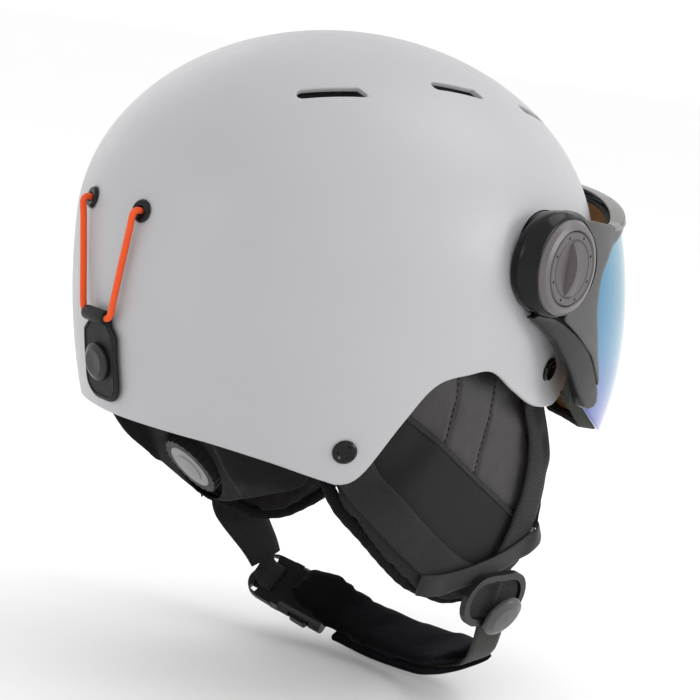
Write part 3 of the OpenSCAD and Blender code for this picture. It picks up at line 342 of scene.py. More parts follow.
def fleece(name, low, high, scale=1.0, tint=(0.6, 0.52, 0.66)):
    """Brushed pile: clumps of short fibres with a soft sheen."""
    m = Mat(name, high, 0.95, sheen=0.07, sheen_rough=0.45, spec=0.08, tint=tint)
    clumps, pile = m.noise(260 * scale, 5, 0.65), m.noise(1700 * scale, 4, 0.75)
    m.paint(m.scaled(clumps * 0.6 + pile * 0.5, 0.35, 0.8), low, high)
    return m.bump(clumps, 0.5, 0.0012).bump(pile, 0.7, 0.0006)


def spacer_mesh():
    """Open mesh cloth of the comfort pads: rows of small round holes."""
    m = Mat("pad_mesh", (0.045, 0.044, 0.045), 0.85, sheen=0.3)
    hole = m.scaled(m.voronoi(420, randomness=0.12), 0.18, 0.34)
    fuzz = m.noise(2600, 3)
    # Dark in the holes: painted shade of the hollows under the mesh.
    m.paint(hole * m.scaled(fuzz, 0.2, 0.6), (0.008, 0.008, 0.008), (0.055, 0.053, 0.055))
    return m.bump(hole, 0.6, 0.0006).bump(fuzz, 0.2, 0.0003)


def bead_foam():
    """Moulded foam of fused beads."""
    m = Mat("bead_foam", (0.028, 0.028, 0.030), 0.6)
    bead = m.scaled(m.voronoi(310, "DISTANCE_TO_EDGE"), 0.0, 0.14)
    m.paint(bead, (0.012, 0.012, 0.013), (0.036, 0.036, 0.039)).polish(0.5, 0.72, 500, 3)
    return m.bump(bead, 0.5, 0.0005).bump(m.noise(1400, 3), 0.25, 0.0002)


def open_foam(name, low, high):
    m = Mat(name, high, 0.95)
    pores = m.voronoi(1500)
    # Darker in the pores: painted shade of the hollows.
    m.paint(m.scaled(pores, 0.1, 0.6), low, high)
    return m.bump(pores, 0.6, 0.0004).bump(m.noise(500, 3), 0.3, 0.0005)


def mirror_lens():
    """Mirror coat: deep blue head on, pale cyan at grazing angles (partly the coat's own shift of hue, partly painted
    reflection), violet at the bottom.
    """
    m = Mat("mirror_coat", (0.1, 0.35, 0.65), 0.1, metal=0.2, coat=0.08, coat_rough=0.03, spec=0.3)
    facing = m.n("LayerWeight", {"Blend": 0.32}, "Facing")
    height = m.axes()[2] + m.noise(14, 2) * 0.018
    low, high = m.scaled(height, -0.012, 0.036), m.scaled(height, 0.03, 0.1)
    deep = m.mix(low, (0.10, 0.055, 0.34), m.mix(high, (0.010, 0.098, 0.30), (0.024, 0.165, 0.33)))
    # The pale tone is partly painted reflection at grazing angles.
    pale = m.mix(low, (0.15, 0.12, 0.44), (0.15, 0.36, 0.42))
    m.paint(m.scaled(facing, 0.2, 0.97), deep, pale).polish(0.07, 0.13, 60, 4, start=0.35)
    return m.bump(m.noise(30, 2), 0.02, 0.0005)


def amber_lens():
    """Amber film, painted black at its sides as the shade in the gap under the visor, and lighter at grazing angles
    as painted reflection.
    """
    m = Mat("amber_film", (0.62, 0.30, 0.10), 0.18, ior=1.45, coat=0.2)
    facing = m.n("LayerWeight", {"Blend": 0.4}, "Facing")
    # Lighter toward grazing angles: painted reflection.
    film = m.mix(facing, (0.42, 0.19, 0.06), (0.70, 0.40, 0.18))
    # Black from y = -0.074 m rearward: painted shade of the gap under the visor.
    m.paint(m.scaled(m.axes()[1], -0.078, -0.074), film, (0.006, 0.006, 0.006)).polish(0.14, 0.24, 120, 4)
    return m.bump(m.noise(40, 2), 0.02, 0.0005)


def braid():
    """Braided elastic: two families of crossing strands (UVs are in metres)."""
    m = Mat("orange_braid", (0.80, 0.11, 0.02), 0.62, sheen=0.08, spec=0.3)
    u, v, _ = m.axes(m.at("UV"))
    k = 2 * pi / 0.00118
    strand = m.math("MAXIMUM", m.math("SINE", u * k + v * (k * 0.9)), m.math("SINE", u * k - v * (k * 0.9)))
    fuzz = m.noise(3600, 3, 0.7)
    # Darker in the gaps between strands: painted shade; the fuzz adds a random tone.
    m.paint(m.scaled(strand * 0.5 + fuzz * 0.6, -0.1, 0.8), (0.62, 0.050, 0.008), (0.92, 0.105, 0.012))
    return m.bump(strand, 0.5, 0.00025).bump(fuzz, 0.2, 0.0001)


def floor_paint():
    m = Mat("pale_floor", (0.965, 0.965, 0.965), 0.9, spec=0.1).vary(0.004, 3)
    return m.bump(m.noise(220, 3), 0.05, 0.0005)


M = {
    "paint": shell_paint(), "foam": bead_foam(), "pad": spacer_mesh(),
    "frame": moulded("satin_frame", (0.044, 0.041, 0.0425), 0.34, coat=0.06, coat_rough=0.3),
    "bezel": knob_bezel(),
    "knob": moulded("knob_satin", (0.072, 0.060, 0.064), 0.36, 3200, 0.06, coat=0.1, coat_rough=0.25),
    "ring": gloss("gloss_ring", (0.0035, 0.0035, 0.0045), 0.13),
    "eyelet": gloss("eyelet_gloss", (0.005, 0.005, 0.0055), 0.2),
    # Painted shade: the bracket's inward-turned facet is the frame's satin plastic, coloured darker for the shade it
    # lies in.
    "facet": moulded("facet_painted_shade", (0.012, 0.0112, 0.0118), 0.34, spec=0.3),
    "rivet": gloss("rivet_gloss", (0.005, 0.005, 0.0055), 0.12),
    "cap": moulded("cap_satin", (0.042, 0.041, 0.043), 0.34, 1800, 0.06, coat=0.15),
    # Painted highlight: the lip is the frame's own plastic, coloured lighter for the light along the frame's top
    # edge.
    "lip": moulded("lip_painted_highlight", (0.115, 0.110, 0.106), 0.3, coat=0.1, coat_rough=0.25),
    "ringdark": moulded("ring_satin", (0.010, 0.0098, 0.0104), 0.3, spec=0.35),
    "snap": moulded("snap_satin", (0.010, 0.010, 0.011), 0.36, 1800, 0.06, coat=0.1, spec=0.35),
    "yoke": moulded("yoke_plastic", (0.011, 0.0107, 0.0115), 0.42, spec=0.35),
    "dark": moulded("dark_plastic", (0.008, 0.008, 0.009), 0.46, spec=0.3),
    "cradle": moulded("cradle_plastic", (0.003, 0.003, 0.0035), 0.6, 1300, 0.16, spec=0.1),
    "dial": moulded("dial_rubber", (0.014, 0.014, 0.015), 0.52, spec=0.3),
    "dial_face": moulded("dial_face", (0.20, 0.20, 0.205), 0.36, 2600, 0.05),
    "steel": brushed("brushed_steel", (0.50, 0.50, 0.51), 0.3),
    "spring": moulded("spring_plastic", (0.16, 0.16, 0.165), 0.4),
    "band": moulded("band_plastic", (0.030, 0.030, 0.033), 0.4),
    "screen": moulded("vent_screen", (0.014, 0.014, 0.015), 0.5),
    "cover": leather(),
    "rib": webbing("ribbed_webbing", (0.0012, 0.0012, 0.0015), (0.027, 0.0262, 0.0285), 0.00105, 0.66, 0.05),
    "tape": webbing("smooth_tape", (0.026, 0.024, 0.024), (0.040, 0.037, 0.037), 0.0006, 0.42, 0.03),
    "chin": webbing("chin_tape", (0.012, 0.0105, 0.008), (0.024, 0.021, 0.0165), 0.0007, 0.42, 0.04),
    "tail": webbing("tail_tape", (0.008, 0.0075, 0.0078), (0.016, 0.015, 0.0155), 0.0007, 0.42, 0.04),
    "fleece": fleece("black_fleece", (0.0006, 0.0005, 0.0007), (0.0032, 0.0028, 0.0036)),
    "binding": fleece("binding_pile", (0.002, 0.002, 0.0026), (0.011, 0.0108, 0.0125), 1.3, (0.5, 0.5, 0.55)),
    "lining": fleece("lining_fleece", (0.005, 0.0047, 0.0045), (0.020, 0.0185, 0.0175), 0.9, (0.6, 0.56, 0.5)),
    "gasket": open_foam("seal_foam", (0.010, 0.0115, 0.010), (0.038, 0.042, 0.036)),
    "mirror": mirror_lens(), "amber": amber_lens(), "braid": braid(),
    "thread": webbing("thread", (0.004, 0.0035, 0.0035), (0.016, 0.014, 0.014), 0.0004, 0.6, 0.05),
    "piping": webbing("piping", (0.010, 0.009, 0.009), (0.034, 0.031, 0.030), 0.0005, 0.5, 0.05),
    "tab": moulded("tab_rubber", (0.009, 0.009, 0.0095), 0.55, 1600, 0.2, spec=0.25),
    "floor": floor_paint(),
}

# Material of the CAD nodes that stay in sight
CARRIED = {
    "screen": "vent_mesh", "dark": "dial_housing", "spring": "dial_spring dial_pinion", "dial": "fit_dial",
    "dial_face": "dial_cap", "band": "band_right band_left", "ring": "pivot_base_right pivot_base_left",
    "steel": "pivot_bolts snap_stud", "bezel": "knob_bezel_right knob_bezel_left", "rivet": "strap_rivets",
    "knob": "knob_right knob_left", "eyelet": "eyelets", "snap": "snap_cap", "ringdark": "divider_right",
    "cap": "divider_cap", "yoke": "buckle_socket buckle_plug prong_front prong_rear",
}


def coat(mesh, key):
    """Gives a mesh one material."""
    mesh.materials.clear()
    mesh.materials.append(M[key].m)


for key, nodes in CARRIED.items():
    for node in nodes.split():
        coat(frame["nodes"][node].data, key)


# ---------------------------------------------------------------- shared shapes, in mm and degrees
def spline(keys, t):
    """Smooth curve through a list of points, t from 0 to 1."""
    n = len(keys) - 1
    s = min(n - 1e-6, max(0.0, t * n))
    i = int(s)
    f = s - i
    p, q, r, e = (keys[max(0, i - 1)], keys[i], keys[i + 1], keys[min(n, i + 2)])
    return [0.5 * (2 * q[k] + (r[k] - p[k]) * f + (2 * p[k] - 5 * q[k] + 4 * r[k] - e[k]) * f * f
                   + (3 * q[k] - p[k] - 3 * r[k] + e[k]) * f ** 3) for k in range(len(q))]


def ahead(keys, t, step=0.01):
    """Difference of a smooth curve over a short way round t."""
    b, a = spline(keys, min(1, t + step)), spline(keys, max(0, t - step))
    return Vector([q - r for q, r in zip(b, a)])


def rounded(points, arc_step=8.0):
    """Closed outline with rounded corners, from points that hold x, y and a radius."""
    out = []
    n = len(points)
    for i in range(n):
        a, b, c = (Vector(points[(i + k) % n][:2]) for k in (-1, 0, 1))
        r = points[i][2]
        if r <= 0:
            out.append(b)
            continue
        u, v = (a - b).normalized(), (c - b).normalized()
        half = acos(max(-1, min(1, u.dot(v)))) / 2
        if half > radians(89.5):
            out.append(b)
            continue
        o = b + (u + v).normalized() * r / sin(half)
        s = b + u * r / tan(half) - o
        turn = 180 - 2 * degrees(half)
        way = -1 if u.x * v.y - u.y * v.x > 0 else 1
        steps = max(3, ceil(turn / arc_step))
        for k in range(steps + 1):
            w = radians(way * turn * k / steps)
            out.append(o + Vector((s.x * cos(w) - s.y * sin(w), s.x * sin(w) + s.y * cos(w))))
    return out


def runs(pts):
    """Distance along a line from its first point to each of its points."""
    out = [0.0]
    for a, b in zip(pts, pts[1:]):
        out.append(out[-1] + (b - a).length)
    return out


def smoothed(pts, times):
    """Points drawn toward their neighbours, with the ends held."""
    for _ in range(times):
        pts = [pts[0]] + [(a + b * 2 + c) / 4 for a, b, c in zip(pts, pts[1:], pts[2:])] + [pts[-1]]
    return pts


def turns(n):
    """Angles of n even steps round a circle."""
    return [2 * pi * k / n for k in range(n)]


def resample(loop, step, closed=True):
    """Points at even spacing along an outline."""
    pts = [Vector(p) for p in loop] + ([Vector(loop[0])] if closed else [])
    seg = [(b - a).length for a, b in zip(pts, pts[1:])]
    total = sum(seg)
    n = max(4, round(total / step))
    out, i, done = [], 0, 0.0
    for k in range(n if closed else n + 1):
        d = min(total * k / n, total - 1e-9)
        while done + seg[i] < d:
            done += seg[i]
            i += 1
        out.append(pts[i].lerp(pts[i + 1], (d - done) / max(seg[i], 1e-9)))
    return out


HALF_W, HALF_L, SHELL_CY, EQ_Z, SHELL_T = 110.0, 129.0, 5.0, 60.0, 2.2


def egg_h(up, off):
    return (98.0 if up else 197.0) - off


def height_share(z, off=0.0):
    """Height from the shell's widest level, as a share of the egg's half height."""
    return (z - EQ_Z) / egg_h(z > EQ_Z, off)


def latitude(z, off=0.0):
    return degrees(asin(max(-0.98, min(0.98, height_share(z, off)))))


def egg(az, lat, off=0.0):
    return Vector(((HALF_W - off) * cosd(lat) * sind(az), SHELL_CY - (HALF_L - off) * cosd(lat) * cosd(az),
                   EQ_Z + egg_h(lat > 0, off) * sind(lat)))


def egg_normal(p):
    return Vector((p.x / HALF_W ** 2, (p.y - SHELL_CY) / HALF_L ** 2,
                   (p.z - EQ_Z) / egg_h(p.z > EQ_Z, 0) ** 2)).normalized()


def shell_x(y, z, off):
    return (HALF_W - off) * sqrt(max(0.01, 1 - ((y - SHELL_CY) / (HALF_L - off)) ** 2 - height_share(z, off) ** 2))


def shell_y(x, z, off):
    return SHELL_CY + (HALF_L - off) * sqrt(max(0.01, 1 - (x / (HALF_W - off)) ** 2 - height_share(z, off) ** 2))


def side_az(y, z):
    return degrees(acos(-(y - SHELL_CY) / HALF_L / cosd(latitude(z))))


def shell_frame(az, lat):
    """Point on the shell with its two tangent axes and the outward normal."""
    p = egg(az, lat)
    d = egg_normal(p)
    phi, th = atan2(d.y, d.x), acos(d.z)
    return (p, Vector((cos(th) * cos(phi), cos(th) * sin(phi), -sin(th))),
            Vector((-sin(phi), cos(phi), 0)), d)


def onto_shell(base, x, y, depth):
    """Point above or below the shell at tangent-plane offsets x and y."""
    p, ex, ey, d = base
    q = p + ex * x + ey * y
    h = egg_h(q.z > EQ_Z, 0)
    inv = Vector((1 / HALF_W ** 2, 1 / HALF_L ** 2, 1 / h ** 2))
    o = q - Vector((0, SHELL_CY, EQ_Z))
    a = sum(inv[i] * d[i] * d[i] for i in range(3))
    b = 2 * sum(inv[i] * d[i] * o[i] for i in range(3))
    c = sum(inv[i] * o[i] * o[i] for i in range(3)) - 1
    t = (-b + sqrt(max(0, b * b - 4 * a * c))) / (2 * a)
    hit = q + d * t
    return hit + egg_normal(hit) * depth


# ---------------------------------------------------------------- mesh helpers
def place(obj, node, body=None):
    """Gives a new piece its body and hides the node it stands for."""
    if isinstance(body, dict):
        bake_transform(obj, body["from"], body["to"], start=body["start"], end=body["end"])
    else:
        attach(obj, body or body_of(frame["nodes"][node])[0])
    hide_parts(node)
    return obj


def solid(name, verts, faces, key, side=1, uvs=None, sharp=40.0):
    mesh = bpy.data.meshes.new(name)
    mesh.from_pydata([(v[0] * MM * side, v[1] * MM, v[2] * MM) for v in verts], [], faces)
    if uvs:
        layer = mesh.uv_layers.new(name="UVMap")
        for loop in mesh.loops:
            layer.data[loop.index].uv = uvs[loop.vertex_index]
    obj = bpy.data.objects.new(name, mesh)
    scene.collection.objects.link(obj)
    finish_mesh(obj, key, sharp)
    return obj


def finish_mesh(obj, key=None, sharp=40.0):
    mesh = obj.data
    bm = bmesh.new()
    bm.from_mesh(mesh)
    bmesh.ops.remove_doubles(bm, verts=bm.verts, dist=2e-6)
    bmesh.ops.recalc_face_normals(bm, faces=bm.faces)
    bm.to_mesh(mesh)
    bm.free()
    mesh.shade_smooth()
    if sharp:
        mesh.set_sharp_from_angle(angle=radians(sharp))
    if key:
        coat(mesh, key)


def ring_faces(rows, n, caps=True, around=True):
    faces = []
    for j in range(rows - 1):
        for i in range(n if around else n - 1):
            a, b = j * n + i, j * n + (i + 1) % n
            faces.append((a, b, b + n, a + n))
    if caps:
        faces.append(tuple(reversed(range(n))))
        faces.append(tuple(range((rows - 1) * n, rows * n)))
    return faces


def skin(name, rings, key, side=1, sharp=40.0, uvs=None):
    """Closed solid through rings with the same number of points each."""
    return solid(name, [p for r in rings for p in r], ring_faces(len(rings), len(rings[0])), key, side, uvs, sharp)


def metric_uvs(rings):
    """UVs in metres: across along each ring, and along the middle of the rings."""
    middles = [sum(ring, Vector((0, 0, 0))) / len(ring) for ring in rings]
    return [(across * MM, along * MM) for ring, along in zip(rings, runs(middles)) for across in runs(ring)]


def bake(obj):
    """Applies an object's modifiers."""
    graph = bpy.context.evaluated_depsgraph_get()
    graph.update()
    mesh = bpy.data.meshes.new_from_object(obj.evaluated_get(graph))
    obj.modifiers.clear()
    obj.data = mesh
    return obj


def cut(obj, tools):
    """Takes the tools away from an object, all at once."""
    tool = join("tools", tools)
    m = obj.modifiers.new("cut", "BOOLEAN")
    m.operation, m.solver, m.object = "DIFFERENCE", "EXACT", tool
    bake(obj)
    bpy.data.objects.remove(tool)


def join(name, objs):
    """One object out of several."""
    bm = bmesh.new()
    for o in objs:
        bm.from_mesh(o.data)
        bpy.data.objects.remove(o)
    mesh = bpy.data.meshes.new(name)
    bm.to_mesh(mesh)
    bm.free()
    obj = bpy.data.objects.new(name, mesh)
    scene.collection.objects.link(obj)
    return obj


def lathe(name, origin, axis, profile, key, steps=64, side=1):
    """Closed solid of revolution; profile holds radius and height along the axis."""
    axis = axis.normalized()
    u = axis.orthogonal().normalized()
    v = axis.cross(u)
    rings = [[origin + axis * h + (u * cos(t) + v * sin(t)) * r for t in turns(steps)] for r, h in profile]
    return skin(name, rings, key, side, 30.0)


def inset(loop, r):
    """Outline moved inward by a distance; positive area outlines run counter-clockwise."""
    after = loop[1:] + loop[:1]
    way = 1 if sum(a.x * b.y - a.y * b.x for a, b in zip(loop, after)) > 0 else -1
    along = [(b - loop[i - 1]).normalized() for i, b in enumerate(after)]
    return [p + Vector((-d.y, d.x)) * r * way for p, d in zip(loop, along)]


def inside(p, loop):
    hit = False
    j = len(loop) - 1
    for i, a in enumerate(loop):
        b = loop[j]
        if (a.y > p.y) != (b.y > p.y) and p.x < (b.x - a.x) * (p.y - a.y) / (b.y - a.y) + a.x:
            hit = not hit
        j = i
    return hit


def panel(name, outer, holes, where, off_in, off_out, radius, step, key, edge_step, sharp=40.0, side=1):
    """Curved plate: outlines in a flat (u, v) domain, where(u, v, off) gives the place in space."""
    loops = [resample(l, edge_step) for l in [outer] + holes]
    # Holes are inset outward, away from the hole
    ways = [radius] + [-radius] * len(holes)
    inner = [inset(l, way) for l, way in zip(loops, ways)]

    def filled(p):
        return inside(p, inner[0]) and not any(inside(p, h) for h in inner[1:])

    pts = [p for l in inner for p in l]
    edges, base = [], 0
    for l in inner:
        edges += [(base + i, base + (i + 1) % len(l)) for i in range(len(l))]
        base += len(l)
    border = np.array([[p.x, p.y] for p in pts])
    lo, hi = border.min(0), border.max(0)
    extra = []
    for r in range(int((hi[1] - lo[1]) / (step * 0.87)) + 1):
        y = lo[1] + (r + 0.5) * step * 0.87
        x = lo[0] + (0.5 + 0.5 * (r % 2)) * step
        while x < hi[0]:
            p = Vector((x, y))
            if filled(p) and ((border - (x, y)) ** 2).sum(1).min() > (0.62 * step) ** 2:
                extra.append(p)
            x += step
    verts, _, faces, _, _, _ = delaunay_2d_cdt(pts + extra, edges, [], 0, 1e-5)
    tris = [list(f) for f in faces if filled(sum((verts[i] for i in f), Vector((0, 0))) / len(f))]
    n = len(verts)
    out = [where(v.x, v.y, off) for off in (off_out, off_in) for v in verts]
    quads = tris + [[i + n for i in reversed(f)] for f in tris]
    lookup = {(round(v.x, 4), round(v.y, 4)): i for i, v in enumerate(verts)}
    # Rounded edge between the two faces
    edge = [(t, off_out, -radius) for t in (35, 65, 90)] + [(t, off_in, radius) for t in (90, 65, 35)]
    for loop, line, way in zip(loops, inner, ways):
        m = len(loop)
        top = [lookup[(round(p.x, 4), round(p.y, 4))] for p in line]
        rows = [top]
        for t, off, r in edge:
            rows.append(range(len(out), len(out) + m))
            out += [where(p.x, p.y, off + r * (1 - cosd(t))) for p in inset(loop, way * (1 - sind(t)))]
        rows.append([i + n for i in top])
        for a, b in zip(rows, rows[1:]):
            quads += [(a[i], a[(i + 1) % m], b[(i + 1) % m], b[i]) for i in range(m)]
    return solid(name, out, quads, key, side, None, sharp)


# ---------------------------------------------------------------- shell and liner
NAPE_Z, CHEEK_Z, EAR_Z, TEMPLE_Z, BROW_Z = -22, -35, 20.5, 0, 66
RIM_KEYS = [[180, NAPE_Z], [169, NAPE_Z], [158, NAPE_Z - .6], [147, NAPE_Z - 2], [134, NAPE_Z - 6],
            [122, CHEEK_Z + 1.5], [117, CHEEK_Z], [112.5, CHEEK_Z + 6], [106, CHEEK_Z + 30], [100, EAR_Z - 7.5],
            [92, EAR_Z - 2], [86, EAR_Z - 1], [78, EAR_Z - 10], [68, TEMPLE_Z + 2], [56, TEMPLE_Z - 1],
            [48, TEMPLE_Z + 1.5], [44, TEMPLE_Z + 9], [41, TEMPLE_Z + 26], [36, BROW_Z - 20], [28, BROW_Z - 6],
            [19, BROW_Z - 1], [9.5, BROW_Z], [0, BROW_Z]]


def liner_edge(k):
    ear = clamp((k[0] - 49) / 6) * clamp((150 - k[0]) / 25) + 0.55 * clamp((k[0] - 125) / 25)
    return [k[0], max(k[1] + 4, lerp(k[1] + 4, EAR_Z + 4, ear))]


def even(keys, step):
    """A line through azimuth and height keys at even spacing on the shell."""
    fine = [spline(keys, i / 800) for i in range(801)]
    run = runs([egg(k[0], latitude(k[1])) for k in fine])
    at = np.linspace(0, run[-1], round(run[-1] / step) + 1)
    half = list(zip(*(np.interp(at, run, [k[i] for k in fine]) for i in range(2))))
    return half + [(360 - a, z) for a, z in reversed(half[1:-1])]


def dome(name, rim, off_out, off_in, rows, key):
    """Domed wall with a rolled lower edge."""
    m = len(rim)
    roll = min((off_in - off_out) / 2, 3.0)

    def row(off, t):
        lats = [latitude(z + roll, off) for _, z in rim]
        return [egg(az, b + (90 - b) * t, off) for (az, _), b in zip(rim, lats)]

    shape = [(i / rows) ** 1.08 for i in range(rows)]
    rings = [row(off_out, t) for t in reversed(shape)]
    edge = [(off_out + roll * (1 - cosd(a)), a) for a in (25, 50, 75, 90)]
    edge += [(off_in - roll * (1 - cosd(a)), a) for a in (90, 75, 50, 25)]
    rings += [[egg(az, latitude(z + roll - roll * sind(a), off), off) for az, z in rim] for off, a in edge]
    rings += [row(off_in, t) for t in shape]
    verts = [p for r in rings for p in r] + [egg(0, 90, off_out), egg(0, 90, off_in)]
    faces = ring_faces(len(rings), m, caps=False)
    top, last = len(verts) - 2, (len(rings) - 1) * m
    faces += [(top, (i + 1) % m, i) for i in range(m)]
    faces += [(top + 1, last + i, last + (i + 1) % m) for i in range(m)]
    return solid(name, verts, faces, key)


# Azimuth, latitude, turn and length of the vents on one side
VENTS = [(133, 47, -14, 32), (88, 54, 8, 29), (47, 47, 19, 30)]
VENT_POINTS = 70


def vent_loop(grow, length):
    w, l = 2.8 + grow, length / 2 + grow
    return rounded([(-w, -l + w * 1.6, 0.9), (w, -l, 1.2), (w, l, w - 0.2), (-w, l, w - 0.2)])


def vent_tools(levels, side):
    """Cutters for the vents; levels holds growth and depth pairs, outside first."""
    tools = []
    for az, lat, turn, length in VENTS:
        base = shell_frame(az, lat)
        c, s = cosd(turn), sind(turn)
        rings = []
        for grow, depth in levels:
            loop = vent_loop(grow, length)
            loop = resample(loop, runs(resample(loop, 1.0))[-1] / (VENT_POINTS + 2))[:VENT_POINTS]
            loop += [loop[-1]] * (VENT_POINTS - len(loop))
            rings.append([onto_shell(base, p.x * c - p.y * s, p.x * s + p.y * c, depth) for p in loop])
        tools.append(skin("tool", rings, None, side))
    return tools


PIVOT_Y, PIVOT_Z, ARM_X = -27.0, 69.0, 112.5
EYELET = (180 - degrees(asin(19.5 / HALF_W)), latitude(71))
SNAP = (180, latitude(2))
REAR_RIVET, TEMPLE_RIVET = (60, -19), (-47, 19)


def bore(az, lat, r, deep, high, side=1):
    p, _, _, d = shell_frame(az, lat)
    return lathe("tool", p, d, [(r, -deep), (r, high)], None, 40, side)


def rivet_bore(at, r, deep, high, side):
    return bore(side_az(*at), latitude(at[1]), r, deep, high, side)


def pivot_bore(r, x0, x1, side):
    return lathe("tool", vec(x0, PIVOT_Y, PIVOT_Z), vec(1, 0, 0), [(r, 0), (r, x1 - x0)], None, 96, side)


shell = dome("shell_skin", even(RIM_KEYS, 3.0), 0, SHELL_T, 40, "paint")
LIP_R = 0.9
vent_lip = [(LIP_R + 0.5, 1.2)] + [(LIP_R * (1 - cosd(a)), -LIP_R * (1 - sind(a))) for a in (82, 60, 38, 18, 0)]
tools = []
for side in (1, -1):
    tools += vent_tools(vent_lip + [(0, -8)], side) + [pivot_bore(23.1, 80, 130, side)]
    tools += [bore(*EYELET, 3.75, 9, 9, side)]
    tools += [rivet_bore(at, 2.5, 9, 9, side) for at in (REAR_RIVET, TEMPLE_RIVET)]
cut(shell, tools + [bore(*SNAP, 3.1, 9, 9)])
finish_mesh(shell, "paint", 28)
place(shell, "outer_shell")

FOAM_OUT, FOAM_IN = 3.0, 25.0
liner = dome("liner_foam", even([liner_edge(k) for k in RIM_KEYS], 3.6), FOAM_OUT, FOAM_IN, 30, "foam")
tools = []
for side in (1, -1):
    tools += vent_tools([(1.4, 2.0), (1.4, -6.7), (-0.6, -6.75), (-0.6, -34)], side)
    tools += [pivot_bore(23.4, 97.4, 130, side), bore(*EYELET, 6.75, 14, 4, side),
              rivet_bore(TEMPLE_RIVET, 9, 12, 2, side)]
cut(liner, tools + [bore(*SNAP, 7, 8, 4)])
finish_mesh(liner, "foam", 35)
place(liner, "eps_liner")

# ---------------------------------------------------------------- visor
PLAN_POWER = 2 / 1.85
VISOR_FRONT = 130.0


def sag(z):
    return (0.00507 if z > 20 else 0.008) * (z - 20) ** 2


def visor_pt(a, z, off):
    """Point of the visor's curved plan at an angle, a height and a distance outward."""
    s = 1 if a >= 0 else -1
    if abs(a) >= 90:
        return vec((ARM_X + off) * s, PIVOT_Y + abs(a) - 90, z)
    return vec((ARM_X + off) * s * abs(sind(a)) ** PLAN_POWER,
               PIVOT_Y - (VISOR_FRONT - sag(z) + off) * cosd(a) ** PLAN_POWER, z)


def plan_angle(y, z):
    """Angle of the plan at a place seen from the side."""
    if y >= PIVOT_Y:
        return 90 + y - PIVOT_Y
    return degrees(acos(min(1, ((PIVOT_Y - y) / (VISOR_FRONT - sag(z))) ** (1 / PLAN_POWER))))


angles = np.linspace(0, 130, 1301)
plan = [visor_pt(a, 60, 0) for a in angles]
run_of = np.concatenate([[0], np.cumsum([(b - a).length for a, b in zip(plan, plan[1:])])])


def run_at(a):
    return float(np.interp(abs(a), angles, run_of)) * (1 if a >= 0 else -1)


def angle_at(run):
    return float(np.interp(abs(run), run_of, angles)) * (1 if run >= 0 else -1)


def rim_at(a):
    return lerp(98, 87, clamp((abs(a) / 58) ** 2.2))


def side_loop(points):
    """Outline on the visor from places in side view, given from the pivot, with a radius each."""
    return [(run_at(plan_angle(PIVOT_Y + y, PIVOT_Z + z)), PIVOT_Z + z, r) for y, z, r in points]


def frame_loop():
    """Outline of the visor frame as run along the plan and height."""
    half = [(run_at(a), rim_at(a) + 0.3, 0) for a in range(2, 60, 3)]
    half += side_loop([(-43, 18, 8), (-22, 20.5, 10)]
                      + [(25 * cosd(t), 25 * sind(t), 0) for t in range(122, 66, -4)]
                      + [(22.3 * cosd(t), 22.3 * sind(t), 0) for t in range(67, 251, 4)]
                      + [(-7.5, -24, 2), (-19.4, -31, 10), (-34, -41.5, 14), (-42.5, -53, 4), (-45.2, -58, .6),
                         (-44.6, -53, 6), (-39.5, -41, 18), (-32.4, -20, 22), (-31.5, -5, 18), (-40, 9, 10),
                         (-58, 16.5, 10)])
    half += [(run_at(40), 87.6, 0), (run_at(20), 88, 0), (run_at(3), 88, 0)]
    return rounded(half + [(-s, z, r) for s, z, r in reversed(half)])


frame_skin = panel("frame_skin", frame_loop(), [], lambda u, v, o: visor_pt(angle_at(u), v, o), 0.4, 2.8, 0.55,
                   2.6, "frame", 1.0, 35)
place(frame_skin, "visor_frame")


def visor_skin(name, a0, a1, steps, section, key, node, side=1, sharp=60):
    """Solid along the visor's plan; section(a, share) gives its points by distance outward and height."""
    rings = []
    for share in (i / steps for i in range(steps + 1)):
        a = lerp(a0, a1, share)
        rings.append([visor_pt(a, z, off) for off, z in section(a, share)])
    place(skin(name, rings, key, side, sharp), node)


def lip_section(a, share):
    z, w = rim_at(a), 5.5 * sqrt(max(0.003, 1 - (a / 66) ** 6))
    return [(off, z + dz) for off, dz in (
        (2.75, -2.2), (3.0, -1.2), (2.9, -0.3), (2.3, 0.35), (1.4, 0.62), (0.4 - 0.5 * w, 0.72), (0.7 - w, 0.6),
        (0.4 - w, 0.25), (0.35 - w, -0.8), (0.6 - w, -1.3), (0.4 - 0.5 * w, -1.45), (0.6, -1.7), (1.4, -2.3))]


visor_skin("frame_lip", -66, 66, 180, lip_section, "lip", "visor_frame", 1, 35)

TAIL_EDGE = [(8, -21.5), (12, -23.5), (5.9, -27), (-4, -33.2), (-9.8, -38.8), (-14.5, -43.6), (-19.8, -49.5),
             (-24.3, -55.4), (-29.1, -60.4), (-35.4, -65.4), (-39.8, -66.9), (-45.8, -66.2), (-47.9, -64), (-47, -60),
             (-43, -53), (-38, -46.5), (-32, -40), (-25, -34.5), (-18, -30.5), (-9, -26), (-3, -23.6), (2, -22.3)]
RING_STEPS = 96


